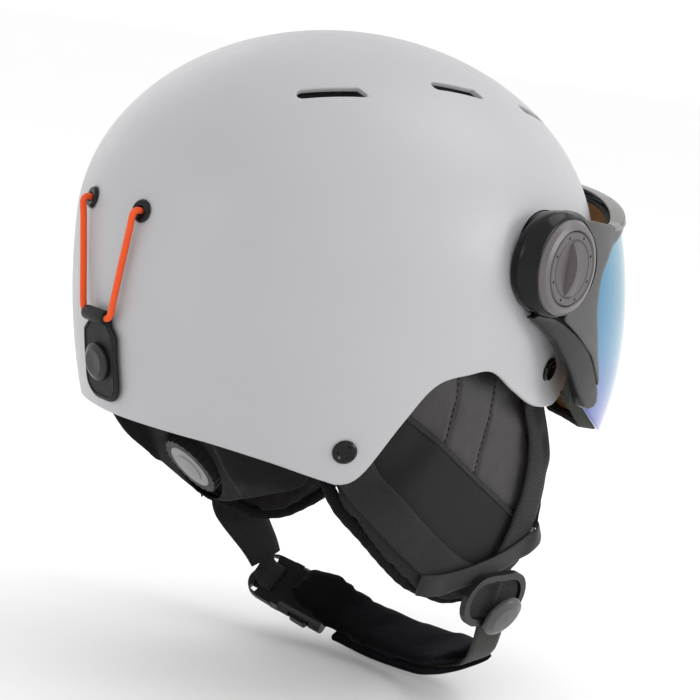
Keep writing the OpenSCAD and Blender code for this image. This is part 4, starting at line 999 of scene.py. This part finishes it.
def ring_rows():
    """Section of the collar round a knob at each step, from the shell's side out to the bezel."""
    rows = []
    for t in (360 * k / RING_STEPS for k in range(RING_STEPS)):
        rear = clamp(0.5 + 0.75 * cosd(t)) * clamp(1.35 + sind(t))
        r_out, top = 22.9 + 3.0 * rear, 3.2 + 1.6 * rear

        def flat(r, x):
            return vec(ARM_X + x, PIVOT_Y + r * cosd(t), PIVOT_Z + r * sind(t))

        def canted(r, h):
            y = r * cosd(t)
            return vec(ARM_X + h * cosd(KNOB_CANT) + y * sind(KNOB_CANT),
                       PIVOT_Y - h * sind(KNOB_CANT) + y * cosd(KNOB_CANT), PIVOT_Z + r * sind(t))
        rows.append([flat(r_out - 0.4, -2.5), flat(r_out, -2.0), flat(r_out + 0.1, 1.6), flat(r_out - 0.2, 2.6),
                     flat(r_out - 0.8, 3.6) if rear > 0.5 else canted(r_out - 0.5, 2.6),
                     canted(22.9, top - 0.5), canted(22.4, top), canted(21.7, top + 0.1),
                     canted(21.55, top - 0.6), flat(21.2, -2.4)])
    return rows


for word, side in SIDES.items():
    tail = panel("bracket_tail_" + word, [Vector((PIVOT_Y + y, PIVOT_Z + z)) for y, z in TAIL_EDGE], [],
                 lambda y, z, o: visor_pt(plan_angle(y, z), z, o), -2.5, 2.3, 0.8, 2.2, "facet", 1.0, 35, side)
    place(tail, "visor_bracket_" + word)
    rows = ring_rows()
    m = len(rows[0])
    faces = [(k * m + i, k * m + (i + 1) % m, (k + 1) % RING_STEPS * m + (i + 1) % m, (k + 1) % RING_STEPS * m + i)
             for k in range(RING_STEPS) for i in range(m)]
    ring = solid("bracket_ring_" + word, [p for row in rows for p in row], faces, "ring", side)
    place(ring, "visor_bracket_" + word)

LENS_ANGLE = 74


def lens_low(a):
    x = abs(visor_pt(a, 0, 0).x)
    return -20 + 28 * (abs(a) / LENS_ANGLE) ** 4 + (13 * cosd(90 * x / 24) ** 2 if x < 24 else 0)


def lens_top(a):
    return rim_at(a) - 3.4


def lens_sheet(name, angle, low, high, off_in, off_out, key, node):
    r = (off_out - off_in) * 0.4
    drop, rise = (90, 60, 30, 0), (0, 30, 60, 90)

    def corner(z, off, r_z, r_off, steps):
        return [(off + r_off * (1 - cosd(t)), z + r_z * (1 - sind(t))) for t in steps]

    def section(a, share):
        z0, z1 = lens_low(a) + low, lens_top(a) - high
        return (corner(z0, off_out, r, -r, drop) + [(off_out, lerp(z0 + r, z1 - r, j / 22)) for j in range(1, 22)]
                + corner(z1, off_out, -r, -r, rise) + corner(z1, off_in, -r, r, drop)
                + [(off_in, lerp(z1 - r, z0 + r, j / 22)) for j in range(1, 22)] + corner(z0, off_in, r, r, rise))
    visor_skin(name, -angle, angle, 296, section, key, node, 1, 50)


lens_sheet("lens_mirror", LENS_ANGLE, 0, 0, -2, 0, "mirror", "visor_lens")
lens_sheet("lens_inner", LENS_ANGLE - 3, 3, 2.5, -5.8, -4.6, "amber", "inner_lens")


SEAL_STEPS = 240


def seal_section(base, lift, depth):
    """Foam seal along an edge of the lens, slightly uneven on its inner side."""
    back = -2 - depth

    def section(a, share):
        puff = 0.12 * sind(share * SEAL_STEPS * 31.0)
        return [(off + puff * (off < -4), base(a) + lift + dz) for dz, off in (
            (0.3, -2.5), (0.0, -2.9), (0.0, back + .7), (0.5, back), (1.7, back), (2.2, back + .7), (2.2, -2.9),
            (1.9, -2.5))]
    return section


def side_seal(a, share):
    """Foam seal up the side of the lens, growing toward the knob."""
    z0 = lens_low(min(a, 71)) + 0.7
    z1 = z0 + 2 + 27 * share ** 1.6
    middle = lerp(z0, z1, 0.5)
    return [(-2.6, z0), (-2.3, middle), (-2.6, z1 - 0.6), (-3.4, z1), (-5.6, z1), (-6.4, z1 - 0.7), (-6.5, middle),
            (-6.4, z0)]


visor_skin("seal_lower", -73, 73, SEAL_STEPS, seal_section(lens_low, 0.4, 9.0), "gasket", "visor_gasket")
visor_skin("seal_upper", -70, 70, SEAL_STEPS, seal_section(lens_top, -2.2, 5.0), "gasket", "visor_gasket")
for word, side in SIDES.items():
    visor_skin("seal_side_" + word, 54, 75.5, 40, side_seal, "gasket", "visor_gasket", side)

# ---------------------------------------------------------------- soft forms
CUSHION_FRAMES = 20
soft_jobs = []


def soft_body(name, rings, key, side, voxel, pressure, cap, pin):
    """Closed cushion: remeshed, pinned along its seams and edges, then blown up by the cloth solver."""
    obj = skin(name, rings, key, side, None)
    m = obj.modifiers.new("remesh", "REMESH")
    m.mode = "VOXEL"
    m.voxel_size = voxel * MM
    bake(obj)
    rest = [v.co.copy() for v in obj.data.vertices]
    held = obj.vertex_groups.new(name="held")
    for v in obj.data.vertices:
        w = clamp(pin(v.co.x / MM * side, v.co.y / MM, v.co.z / MM))
        if w > 0:
            held.add([v.index], w, "REPLACE")
    cloth = obj.modifiers.new("cloth", "CLOTH")
    s = cloth.settings
    s.quality, s.mass = 6, 0.2
    s.tension_stiffness = s.compression_stiffness = 14
    s.shear_stiffness, s.bending_stiffness, s.pin_stiffness = 6, 0.4, 1
    s.use_pressure, s.uniform_pressure_force = True, pressure
    s.effector_weights.gravity = 0
    s.vertex_group_mass = "held"
    cloth.collision_settings.use_collision = False
    cloth.point_cache.frame_start = 1
    cloth.point_cache.frame_end = CUSHION_FRAMES
    soft_jobs.append((obj, rest, cap * MM, key))
    return obj


def blow_up():
    """Runs all cushions at once and applies the result, with the movement capped."""
    for f in range(1, CUSHION_FRAMES + 1):
        scene.frame_set(f)
    for obj, rest, cap, key in soft_jobs:
        bake(obj)
        for v, home in zip(obj.data.vertices, rest):
            d = v.co - home
            if d.length > cap:
                v.co = home + d * (cap / d.length)
        m = obj.modifiers.new("fine", "SUBSURF")
        m.levels = m.render_levels = 2
        bake(obj)
        obj.data.shade_smooth()
        coat(obj.data, key)
    scene.frame_set(1)


def tree_of(obj):
    bm = bmesh.new()
    bm.from_mesh(obj.data)
    tree = BVHTree.FromBMesh(bm)
    bm.free()
    return tree


def line_gap(y, z, a, b):
    """Distance from a straight line in side view."""
    dy, dz = b[0] - a[0], b[1] - a[1]
    t = clamp(((y - a[0]) * dy + (z - a[1]) * dz) / (dy * dy + dz * dz))
    return hypot(y - a[0] - dy * t, z - a[1] - dz * t)


def poly_gap(y, z, line):
    return min(line_gap(y, z, a, b) for a, b in zip(line, line[1:]))


FLAP_T = 11.0
FLAP_KEYS = [[22, 14, -24], [10, 34, -46], [-4, 47, -60], [-20, 54, -69], [-34, 57, -74], [-48, 50, -77],
             [-62, 35, -79.5], [-75, 20, -77], [-86, 4, -68], [-93, -14, -54], [-97, -26, -42]]
# Sewn lines of the cover in side view: two stitched seams and the piped joint of hide and canvas
SEAM_A = [(3.6, 20), (3.5, 12.9), (3.6, 5), (4.3, -4.2), (6.3, -16.4)]
SEAM_B = [(-20.2, 20), (-20.6, 13.2), (-20.8, 4.2), (-18.1, -9.4), (-16.3, -22), (-16.1, -31.5)]
PIPING = [(33, -1.5), (24.1, -6.3), (11.2, -14.1), (-3.5, -24.2), (-22.4, -36.2), (-43.1, -48.5), (-50, -52.5)]


def flap_limit(y, z):
    return shell_x(y, max(z, CHEEK_Z), SHELL_T) - 6.4 + 0.6 * max(0, lerp(2, -30, clamp(y / 30)) - z)


def flap_x(y, z):
    bulge = 97 - (0.0014 if y < 10 else 0.0062) * (y - 10) ** 2 - (0.0014 * z * z if z < 0 else 0)
    return min(bulge, flap_limit(y, z))


def flap_rings(depth, thick, margin, cols=30, rows=44):
    rings = []
    for i in range(rows + 1):
        v = i / rows
        z, y0, y1 = spline(FLAP_KEYS, lerp(margin / 120, 1 - margin / 120, v))
        y0, y1 = y0 - margin, y1 + margin
        end = 0.42 * thick * (1 - fall(v, 8))
        us = [j / cols for j in range(cols + 1)]

        def pt(u, back):
            y = lerp(y0, y1, u)
            e = max(end, 0.42 * thick * (1 - fall(u, 6)))
            return vec(flap_x(y, z) - depth - (thick - e if back else e), y, z)
        rings.append([pt(u, False) for u in us] + [pt(u, True) for u in reversed(us)])
    return rings


EDGE_LINE = [(k[1], k[0]) for k in FLAP_KEYS] + [(k[2], k[0]) for k in reversed(FLAP_KEYS)]


def flap_pin(x, y, z):
    """Held along the outline and, on the outer face, along the sewn lines."""
    w = 1.3 - poly_gap(y, z, EDGE_LINE) / 4
    if x > flap_x(y, z) - 5.5:
        w = max(w, *(1.25 - poly_gap(y, z, line) / 3.2 for line in (SEAM_A, SEAM_B, PIPING)))
    return w


def lining_pin(x, y, z):
    return 1.3 - (poly_gap(y, z, EDGE_LINE) - 9) / 4


flaps, linings = {}, {}
for word, side in SIDES.items():
    flaps[word] = soft_body("flap_" + word, flap_rings(2.0, FLAP_T - 3.4, 1.6), "cover", side, 3.6, 3.2, 3.0,
                            flap_pin)
    linings[word] = soft_body("flap_lining_" + word, flap_rings(FLAP_T + 2.0, 4.2, 10.5, 20, 30), "lining", side,
                              4.0, 2.0, 2.2, lining_pin)

SLEEVE_T, SLEEVE_W, WEB_T, WEB_W = 11.0, 32.0, 1.4, 19.0
CHIN_KEYS = [[-83, -51, -97], [-81.2, -51.8, -106.5], [-77, -54.5, -118], [-70.5, -58, -127.5], [-60, -62, -134.5],
             [-35, -68, -141.8], [0, -67, -145.3], [25, -62, -143.4], [37.7, -56.9, -140.5]]
PAD_KEYS = [[-63, -60, -129], [-35, -66.2, -137.2], [0, -64.7, -140.7], [25.6, -58.6, -137.6], [38.8, -50.1, -131.1],
            [53, -43.5, -126.6]]


def path_frame(keys, t):
    """Point, direction, width and outward axes of the strap under the chin."""
    p = vec(spline(keys, t))
    d = ahead(keys, t).normalized()
    lean = lerp(2, 27, clamp((p.x + 80) / 50))
    up = vec(0, -cosd(lean), sind(lean))
    w = (up - d * up.dot(d)).normalized()
    return p, d, w, d.cross(w)


def chin_pad_rings(grow):
    rings = []
    for i in range(49):
        t = i / 48
        p, d, w, c = path_frame(PAD_KEYS, t)
        e = 0.75 + 0.25 * fall(t, 8)
        h = lerp(SLEEVE_T / 2 - 1.5, 3, clamp((p.x - 24) / 14)) - grow
        o = p - c * 0.4
        ring = []
        for k in range(28):
            a = radians(360 / 28 * (k + 0.5))
            u, v = cos(a), sin(a)
            ring.append(o + w * (SLEEVE_W / 2 - grow) * e * copysign(abs(u) ** 0.6, u)
                        + c * h * e * copysign(abs(v) ** 0.7, v))
        rings.append(ring)
    return rings


def chin_pin(x, y, z):
    """Held along both long edges and at the ends."""
    best = None
    for i in range(25):
        p, _, w, _ = path_frame(PAD_KEYS, i / 24)
        q = vec(x, y, z) - p
        if best is None or q.length < best[0]:
            best = (q.length, abs(q.dot(w)), i / 24)
    return max((best[1] - 13.2) / 2.2, 1 - min(best[2], 1 - best[2]) * 14)


chin_pad = soft_body("chin_sleeve", chin_pad_rings(0.7), "fleece", 1, 3.6, 2.6, 1.6, chin_pin)

PAD_T = 6.0


def rim_fall(u, v):
    """Falls from 1 inside a cushion to 0 at its edges; u and v run from 0 to 1."""
    return fall(u, 6) * fall(v, 4)


def liner_pad_rings(az0, az1, lat0, lat1, channels, cols=60, rows=30):
    base = FOAM_IN + 1.3
    rings = []
    for i in range(cols + 1):
        u = i / cols
        dip = 1 - (0.4 * abs(cosd(180 * u * channels)) ** 14 if channels else 0)

        def pt(j, puff):
            off = base + (1 + (PAD_T - 2.2) * rim_fall(u, j / rows) * dip if puff else 0)
            return egg(lerp(az0, az1, u), lerp(lat0, lat1, j / rows), off)
        rings.append([pt(j, False) for j in range(rows + 1)] + [pt(j, True) for j in range(rows, -1, -1)])
    return rings


def pad_pin(x, y, z):
    """Held by depth below the shell, measured along the egg's own scale."""
    s = sqrt((x / HALF_W) ** 2 + ((y - SHELL_CY) / HALF_L) ** 2 + height_share(z) ** 2)
    return (29.3 - (1 - s) * 110) / 1.6


brow = soft_body("brow_cushion", liner_pad_rings(-51, 51, 12.6, 33.4, 4), "pad", 1, 3.4, 2.0, 1.4, pad_pin)
crown = [soft_body("crown_cushion_%d" % i, liner_pad_rings(az + 159, az + 201, 31, 73, 0, 30, 30), "pad", 1,
                   3.8, 2.0, 1.6, pad_pin) for i, az in enumerate((-58, 0, 58))]
NAPE_KEYS = [[113.5, 3.7], [112, -14], [106.5, -24], [100, -33], [93.5, -41], [87.5, -46], [79, -51.5],
             [71.5, -56.5], [62, -63]]


def cradle_pt(psi, v, off):
    """Point of the yoke at a turn round the head, a share of the way down and a distance outward."""
    k = spline(NAPE_KEYS, v * lerp(1, 0.49, (abs(psi) / 54) ** 2))
    r = k[0] + off
    x = 0.88 * r * sind(psi)
    flat = 75.5 + 0.62 * (k[1] + 42.4) + off * 1.2 + 1.3 * max(0, abs(x) - 34)
    y = SHELL_CY + r * cosd(psi)
    # A soft minimum keeps the fold of the yoke round instead of sharp
    s = 1.6
    y = -s * log(exp(-(y - flat) / s) + 1) + flat if y - flat > -18 * s else y
    return vec(x, y, k[1])


rings = []
for i in range(41):
    u = i / 40
    psi = lerp(-24.5, 24.5, u)
    rings.append([cradle_pt(psi, lerp(0.40, 0.945, j / 24), -17.9) for j in range(25)]
                 + [cradle_pt(psi, lerp(0.40, 0.945, j / 24), -18.2 - 4.2 * rim_fall(u, j / 24))
                    for j in range(24, -1, -1)])
nape = skin("nape_cushion", rings, "pad", 1, None)
blow_up()
for obj, node, fill in [(nape, "nape_pad", 0.5), (brow, "brow_pad", 0.5)] + [
        (c, "crown_pad", 0.5) for c in crown] + [(chin_pad, "chin_pad", 0.6)]:
    place(obj, node)


def press_lines(obj, side, lines, depth, width):
    """Presses sewn lines into the outer face of a flap."""
    for v in obj.data.vertices:
        y, z = v.co.y / MM, v.co.z / MM
        x = v.co.x / MM * side
        if x < flap_x(y, z) - 6.2:
            continue
        g = min(poly_gap(y, z, line) for line in lines)
        if g < width * 3:
            v.co.x -= side * depth * MM * exp(-(g / width) ** 2)


trees = {}
for word, side in SIDES.items():
    press_lines(flaps[word], side, (SEAM_A, SEAM_B), 1.0, 1.1)
    press_lines(flaps[word], side, (PIPING,), 0.9, 2.2)
    place(flaps[word], "ear_flap_" + word)
    place(linings[word], "ear_lining_" + word)
    trees[word] = tree_of(flaps[word])


def surface_x(word, y, z):
    """Outer face of the finished flap at a place in side view, as a distance from the middle."""
    side = SIDES[word]
    hit = trees[word].ray_cast(Vector((side * 0.16, y * MM, z * MM)), Vector((-side, 0, 0)))
    return hit[0].x / MM * side if hit[0] else None


def tube(name, pts, radii, key, side=1, steps=12, squash=1.0, axis=None):
    """Round or flattened tube along points."""
    n = len(pts)
    rings = []
    for i, p in enumerate(pts):
        d = (pts[min(n - 1, i + 1)] - pts[max(0, i - 1)]).normalized()
        u = d.cross(axis if axis else (Vector((0, 0, 1)) if abs(d.z) < 0.9 else Vector((0, 1, 0)))).normalized()
        v = d.cross(u)
        r = radii[i] if isinstance(radii, list) else radii
        rings.append([p + (u * cos(t) + v * squash * sin(t)) * r for t in turns(steps)])
    return skin(name, rings, key, side, None, metric_uvs(rings))


def smooth_line(keys, step):
    """Points at even spacing along the smooth curve through some keys."""
    return resample([spline(keys, i / 400) for i in range(401)], step, False)


STITCH_PITCH, STITCH_LENGTH, STITCH_R = 2.9, 2.2, 0.38


def stitches(name, pts, side, node):
    """A row of thread stitches along points on a flap's outer face."""
    verts, faces, run, following = [], [], 0.0, STITCH_PITCH * 0.4
    out = vec(1, 0, 0)
    for a, b in zip(pts, pts[1:]):
        step, d = (b - a).length, (b - a).normalized()
        w = d.cross(out).normalized()
        while run + step >= following:
            p = a.lerp(b, (following - run) / max(step, 1e-9))
            faces += [tuple(len(verts) + q for q in f) for f in ring_faces(5, 6)]
            for s, r, h in ((-0.5, 0.25, -0.6), (-0.36, 0.8, 0.1), (0, 1.0, 0.35), (0.36, 0.8, 0.1),
                            (0.5, 0.25, -0.6)):
                c = p + d * s * STITCH_LENGTH + out * h * STITCH_R
                verts += [c + (w * cos(t) + out * sin(t)) * STITCH_R * r for t in turns(6)]
            following += STITCH_PITCH
        run += step
    place(solid(name, verts, faces, "thread", side, None, None), node)


for word, side in SIDES.items():
    node = "ear_flap_" + word
    for k, line in enumerate((SEAM_A, SEAM_B)):
        pts = [(surface_x(word, *p), p) for p in smooth_line(line, 1.0)]
        pts = [vec(x + 0.05, p.x, p.y) for x, p in pts if x and shell_x(p.x, p.y, SHELL_T) > x + 0.5]
        stitches("flap_stitch_%s_%d" % (word, k), smoothed(pts, 4), side, node)
    for k, shift in enumerate((-1.05, 1.05)):
        pts = [(p.x + shift * 0.56, p.y + shift * 0.83) for p in smooth_line(PIPING, 1.2)]
        pts = [vec(x + 0.15, *q) for x, q in ((surface_x(word, *q), q) for q in pts) if x]
        place(tube("flap_piping_%s_%d" % (word, k), smoothed(pts, 6), 0.95, "piping", side, 10), node)
    # Pile-covered binding round the edge, drawn in toward the middle of the flap
    path = [vec(flap_x(p.x, p.y) - 5.4, p.x, p.y) for p in smooth_line(EDGE_LINE[1:-1], 2.0)]
    path = smoothed([p + (vec(0, -12, -35) - p).normalized() * 3.2 for p in path], 3)
    radii = [3.1 + 0.12 * sin(i * 1.7) for i in range(len(path))]
    place(tube("flap_binding_" + word, path, radii, "binding", side, 16, 0.9, Vector((1, 0, 0))), node)


# ---------------------------------------------------------------- straps
RIB_PITCH = 1.05


def strap(name, place_at, stations, half_t, key, node, side=1, cols=8, rib=0.0, body=None):
    """Woven strap; place_at(t) gives centre, half width vector, outward unit vector and a function of its bow."""
    at = [place_at(i / stations) for i in range(stations + 1)]
    across = [lerp(-1, 1, j / cols) for j in range(cols + 1)]
    rings = []
    for (c, w, n, bow), run in zip(at, runs([a[0] for a in at])):
        lift = rib * abs(sin(pi * run / RIB_PITCH))

        def height(s):
            return half_t * 0.55 if abs(s) > 0.999 else half_t + lift
        rings.append([c + w * s + n * (height(s) + bow(s)) for s in across]
                     + [c + w * s - n * (height(s) - bow(s)) for s in reversed(across)])
    n = len(rings[0])
    width = 2 * place_at(0.5)[1].length
    uvs = [((j if j <= cols else 2 * cols + 1 - j) / cols * width * MM, run * MM)
           for run in runs([ring[n // 4] for ring in rings]) for j in range(n)]
    place(skin(name, rings, key, side, None, uvs), node, body)


REAR_KEYS = [[64, -15, 0], [57, -21, 0], [49, -29, 0.4], [38, -40.5, 1], [20, -56, 1], [1, -69.5, 1], [-17, -80, 1]]
FRONT_KEYS = [[-46, 23.5, 0], [-47.5, 15, 0], [-51, 3, 0.5], [-55.5, -11, 1], [-58.5, -26, 1], [-59, -41, 1],
              [-57.5, -55, 1], [-54, -68, 1], [-49.5, -80, 1]]
BAND_KEYS = [[3, -83.5, 1], [-11, -82.8, 1], [-27, -80.3, 1], [-47, -75.2, 1], [-62, -68.8, 1], [-71, -63, 1],
             [-75, -59.8, 1]]
NET = 60


def flap_strap(name, word, keys, width, lift, key, node, rib=0.0, tuck=(0, 0)):
    """Strap over a flap; tuck holds how deep its first and last end sink."""
    def base(y, z, k):
        cad = flap_x(y, z) + lift
        seen = surface_x(word, y, z)
        rest = min(cad, seen + lift + 0.3) if seen and seen > cad - 6 else cad
        return lerp(shell_x(y, z, SHELL_T) - 0.9 - WEB_T, rest, k) + WEB_T / 2

    # Surface heights on a coarse net, smoothed, then read between
    net = []
    for t in (i / NET for i in range(NET + 1)):
        p, d = spline(keys, t), ahead(keys, t, 0.02).xy.normalized()
        w = Vector((-d.y, d.x)) * width / 2
        net.append([p, w, [base(p[0] + s * w.x, p[1] + s * w.y, clamp(p[2])) for s in (-1, -0.5, 0, 0.5, 1)]])
    for _ in range(5):
        rows = [r[2] for r in net]
        for i in range(1, NET):
            net[i][2] = [(rows[i - 1][j] + 2 * rows[i][j] + rows[i + 1][j]) / 4 for j in range(5)]
    for i, row in enumerate(net):
        sink = tuck[0] * clamp(1 - i / NET / 0.12) ** 1.6 + tuck[1] * clamp(1 - (1 - i / NET) / 0.24) ** 1.6
        row[2] = [x - sink for x in row[2]]

    def place_at(t):
        f = min(NET - 1e-6, t * NET)
        i = int(f)
        a, b, g = net[i], net[i + 1], f - i
        w = a[1].lerp(b[1], g)
        h = [lerp(a[2][j], b[2][j], g) for j in range(5)]
        tilt = (h[4] - h[0]) / 2

        def bow(s):
            f = (s + 1) * 2
            i = min(3, int(f))
            return lerp(h[i], h[i + 1], f - i) - h[2] - tilt * s
        return (vec(h[2], lerp(a[0][0], b[0][0], g), lerp(a[0][1], b[0][1], g)), vec(tilt, w.x, w.y),
                vec(1, 0, 0), bow)

    total = runs([Vector(r[0][:2]) for r in net])[-1]
    count = max(40, round(total / (RIB_PITCH / 4 if rib else 1.5)))
    strap(name, place_at, count, WEB_T / 2, key, node, SIDES[word], 8, rib)


for word in SIDES:
    rear = REAR_KEYS if word == "left" else REAR_KEYS + [[-33, -86, 1]]
    flap_strap("strap_rear_" + word, word, rear, WEB_W - 2, 0.5, "rib", "rear_webbing_" + word, 0.16)
    flap_strap("strap_front_" + word, word, FRONT_KEYS, WEB_W, 0.6 + WEB_T, "rib", "front_webbing_" + word, 0.16)
    flap_strap("strap_band_" + word, word, BAND_KEYS, 10.5, 0.9 + 2 * WEB_T, "tape", "flap_band_" + word,
               tuck=(5, 10))


def level(s):
    """Bow of a strap that is flat across."""
    return 0.0


def chin_at(t):
    p, _, w, c = path_frame(CHIN_KEYS, t)
    return p, w * (WEB_W / 2 - 1), c, level


def cover_at(t):
    p, _, w, c = path_frame(CHIN_KEYS[4:8] + [[31, -60, -142.2]], t)
    e = 0.86 + 0.14 * fall(t, 8)
    return p + c * (WEB_T / 2 + 1.3), w * (SLEEVE_W / 2 - 1.5) * e, c, lambda s: 0.5 * (1 - s * s) - 0.6 * abs(s) ** 6


# X, Y, Z and the two parts of the half width
TAIL_KEYS = [[86, -22, -88.5, 18, 0], [85, -24, -98, 15.5, -2], [80, -35, -114.5, 10.5, -3.5],
             [78, -39, -122, 8.7, -3.9]]


def tail_at(t):
    k = spline(TAIL_KEYS, t)
    return vec(k[:3]), vec(0, k[3], k[4]), vec(1, 0, 0), level


def turned(a, b, c):
    """Turn about X, then Y, then Z, in degrees."""
    return (Matrix.Rotation(radians(c), 3, "Z") @ Matrix.Rotation(radians(b), 3, "Y")
            @ Matrix.Rotation(radians(a), 3, "X"))


BUCKLE_AT, BUCKLE_TURN = vec(49.6, -51, -137.2), turned(-44.5, -13.9, 26.3)
LOOP_KEYS = [[34.5, -4.5, 3.9], [32, -2.5, 3.3], [29, -0.6, 2.5], [25.5, 0, 2.5], [22.6, 0, 2.1], [21.5, 0, 0.3],
             [22.4, 0, -2.0], [25.5, 0, -2.5], [29, 0, -2.5], [32.5, 0, -2.7]]


def loop_at(t):
    d = ahead(LOOP_KEYS, t)
    n = Vector((-d.z, 0, d.x)).normalized()
    return BUCKLE_AT + BUCKLE_TURN @ vec(spline(LOOP_KEYS, t)), BUCKLE_TURN @ vec(0, 7.9, 0), BUCKLE_TURN @ n, level


# Webbing gathered in the ring under the right flap
RING_AT, RING_TURN = vec(-88.8, -43.3, -92.4), turned(0, -11, 7.4) @ turned(90, 0, -90)


def ring_web_at(t):
    v = lerp(-9.3, 9.3, t)
    half = 8.3 + sqrt(max(0, 9.6 ** 2 - v * v))
    return (RING_AT + RING_TURN @ vec(0, v, -0.5), RING_TURN @ vec(half, 0, 0), RING_TURN @ vec(0, 0, 1),
            lambda s: 2.35 * exp(-((s * half + 1.7) / 2.6) ** 2))


strap("strap_chin", chin_at, 220, WEB_T / 2, "chin", "chin_webbing")
strap("sleeve_back", cover_at, 70, 0.75, "fleece", "sleeve_cover", cols=14)
strap("strap_tail", tail_at, 60, WEB_T / 2, "tail", "strap_tail_left",
      body={"from": "helmet", "to": "plug", "start": (0.0855, -0.0225, -0.091), "end": (0.0785, -0.038, -0.120)})
strap("strap_loop", loop_at, 90, WEB_T / 2, "tail", "strap_tail_left",
      body=body_of(frame["nodes"]["buckle_plug"])[0])
strap("ring_webbing", ring_web_at, 84, WEB_T / 2, "rib", "front_webbing_right", cols=40, rib=0.16)

# ---------------------------------------------------------------- strap holder at the back
CORD_HALF = [[17.4, 121.5, 69.5], [18.4, 126.5, 70.3], [19.6, 132.2, 71.1], [20, 134.3, 71.3], [20, 135.8, 70.3],
             [19.6, 136.2, 68], [18.8, 136, 64], [17.2, 135.9, 56], [15.4, 135.8, 47], [13.7, 135.7, 38],
             [12.3, 135.6, 30.5], [11.6, 135.5, 26.5], [10.4, 135.4, 23.2], [8, 135.4, 22], [3, 135.4, 22]]
CORD_SIDES, CORD_ROUND = 24, 9.42
cord_line = smoothed(smooth_line([[-x, y, z] for x, y, z in CORD_HALF] + CORD_HALF[::-1], 0.4), 3)
rings, uvs, u_axis = [], [], None
for i, (p, run) in enumerate(zip(cord_line, runs(cord_line))):
    d = (cord_line[min(len(cord_line) - 1, i + 1)] - cord_line[max(0, i - 1)]).normalized()
    u_axis = (d.orthogonal() if u_axis is None else u_axis - d * u_axis.dot(d)).normalized()
    v_axis = d.cross(u_axis)
    turn = run / 1.5 * 1.1

    def strand(t):
        return 1.46 + 0.05 * max(abs(cos(4 * (t + turn))), abs(cos(4 * (t - turn))))
    rings.append([p + (u_axis * cos(t) + v_axis * sin(t)) * strand(t) for t in turns(CORD_SIDES)])
    uvs += [(k / CORD_SIDES * CORD_ROUND * MM, run * MM) for k in range(CORD_SIDES)]
place(skin("elastic_braid", rings, "braid", 1, None, uvs), "elastic_cord")

# Tab of the strap holder: a soft plate with a welt round its edge, folded over the elastic
TAB_TOP, TAB_LOW, TAB_HALF, FOLD_HALF, TAB_T, STUD_R = 22.0, -16.0, 12.5, 8.0, 2.6, 4.2


def tab_where(x, z, off):
    return vec(x, shell_y(0, z, 0) + 0.6 + off, z)


def tab_outline():
    half = [(FOLD_HALF, TAB_TOP + 1.5, 0), (FOLD_HALF, TAB_TOP - 3, 1.5), (TAB_HALF, TAB_TOP - 7.5, 3),
            (TAB_HALF, TAB_LOW, 9)]
    return rounded([(-x, z, r) for x, z, r in half] + half[::-1])


stud_hole = [Vector((STUD_R * cosd(t), 2 + STUD_R * sind(t))) for t in range(0, 360, 15)]
place(panel("tab_skin", tab_outline(), [stud_hole], tab_where, 0, TAB_T - 0.3, 0.9, 2.0, "tab", 1.0, 50),
      "goggle_tab")
welt = inset(resample(tab_outline(), 1.2), 1.7)
first = max(range(len(welt)), key=lambda i: welt[i].y - abs(welt[i].x + 6) * 0.5)
welt = [tab_where(*p, TAB_T - 0.35) for p in welt[first:] + welt[:first] if p.y < TAB_TOP - 1.5]
place(tube("tab_welt", welt, 0.55, "tab", 1, 10), "goggle_tab")
half = [(3.2, FOLD_HALF - 0.8), (3.0, FOLD_HALF - 0.25), (2.4, FOLD_HALF), (0.01, FOLD_HALF)]
fold = [(r, -h) for r, h in reversed(half)] + half
place(lathe("tab_fold", vec(0, shell_y(0, TAB_TOP, 0) + 3.8, TAB_TOP), vec(1, 0, 0), fold, "tab", 48), "goggle_tab")

# ---------------------------------------------------------------- nape yoke
DIAL_TILT, WELL_R = 42, 19.3
DIAL_AT = vec(0, 68.7, -42.4)
DIAL_AXIS = vec(0, cosd(DIAL_TILT), -sind(DIAL_TILT))
YOKE_HALF, YOKE_TOP, YOKE_LOW, YOKE_DEPTH = 87.4, 0.3, 77.6, 78.0


def cradle_where(u, v, off):
    """Domain: u runs round the head, v down the yoke, both in about a millimetre."""
    psi, t = u / 1.62, v / YOKE_DEPTH
    ridge = 0.9 * exp(-((abs(cradle_pt(psi, t, 0).x) - 35.5) / 1.5) ** 2) if off > -2 else 0
    return cradle_pt(psi, t, off + ridge)


def dial_gap(u, v):
    """Distance of a place of the domain from the dial's axis."""
    d = cradle_where(u, v, 0) - DIAL_AT
    return (d - DIAL_AXIS * d.dot(DIAL_AXIS)).length


def well_outline():
    """Rim of the dial's well in the domain, found by halving the distance from its centre."""
    cu, cv = min(((u * 0.5, v * 0.5) for u in range(-10, 11) for v in range(60, 156)), key=lambda q: dial_gap(*q))
    out = []
    for c, s in ((cos(t), sin(t)) for t in turns(72)):
        lo, hi = 0.0, 60.0
        for _ in range(24):
            mid = (lo + hi) / 2
            if dial_gap(cu + c * mid, min(YOKE_DEPTH, max(0.0, cv + s * mid))) < WELL_R:
                lo = mid
            else:
                hi = mid
        out.append(Vector((cu + c * lo, cv + s * lo)))
    return out


yoke_outline = rounded([(-YOKE_HALF, YOKE_TOP, 1.5), (YOKE_HALF, YOKE_TOP, 1.5), (YOKE_HALF, YOKE_LOW, 9),
                        (-YOKE_HALF, YOKE_LOW, 9)])
yoke = panel("nape_yoke", yoke_outline, [well_outline()], cradle_where, -4.5, 0, 1.2, 2.4, "cradle", 1.1, 50)
place(yoke, "fit_cradle")

# ---------------------------------------------------------------- floor
bpy.ops.mesh.primitive_grid_add(x_subdivisions=12, y_subdivisions=12, size=60,
                                location=(0, 0, cad_box[0][2] - 0.0015))
ground = bpy.context.object
ground.name = "ground"
ground.data.materials.append(M["floor"].m)
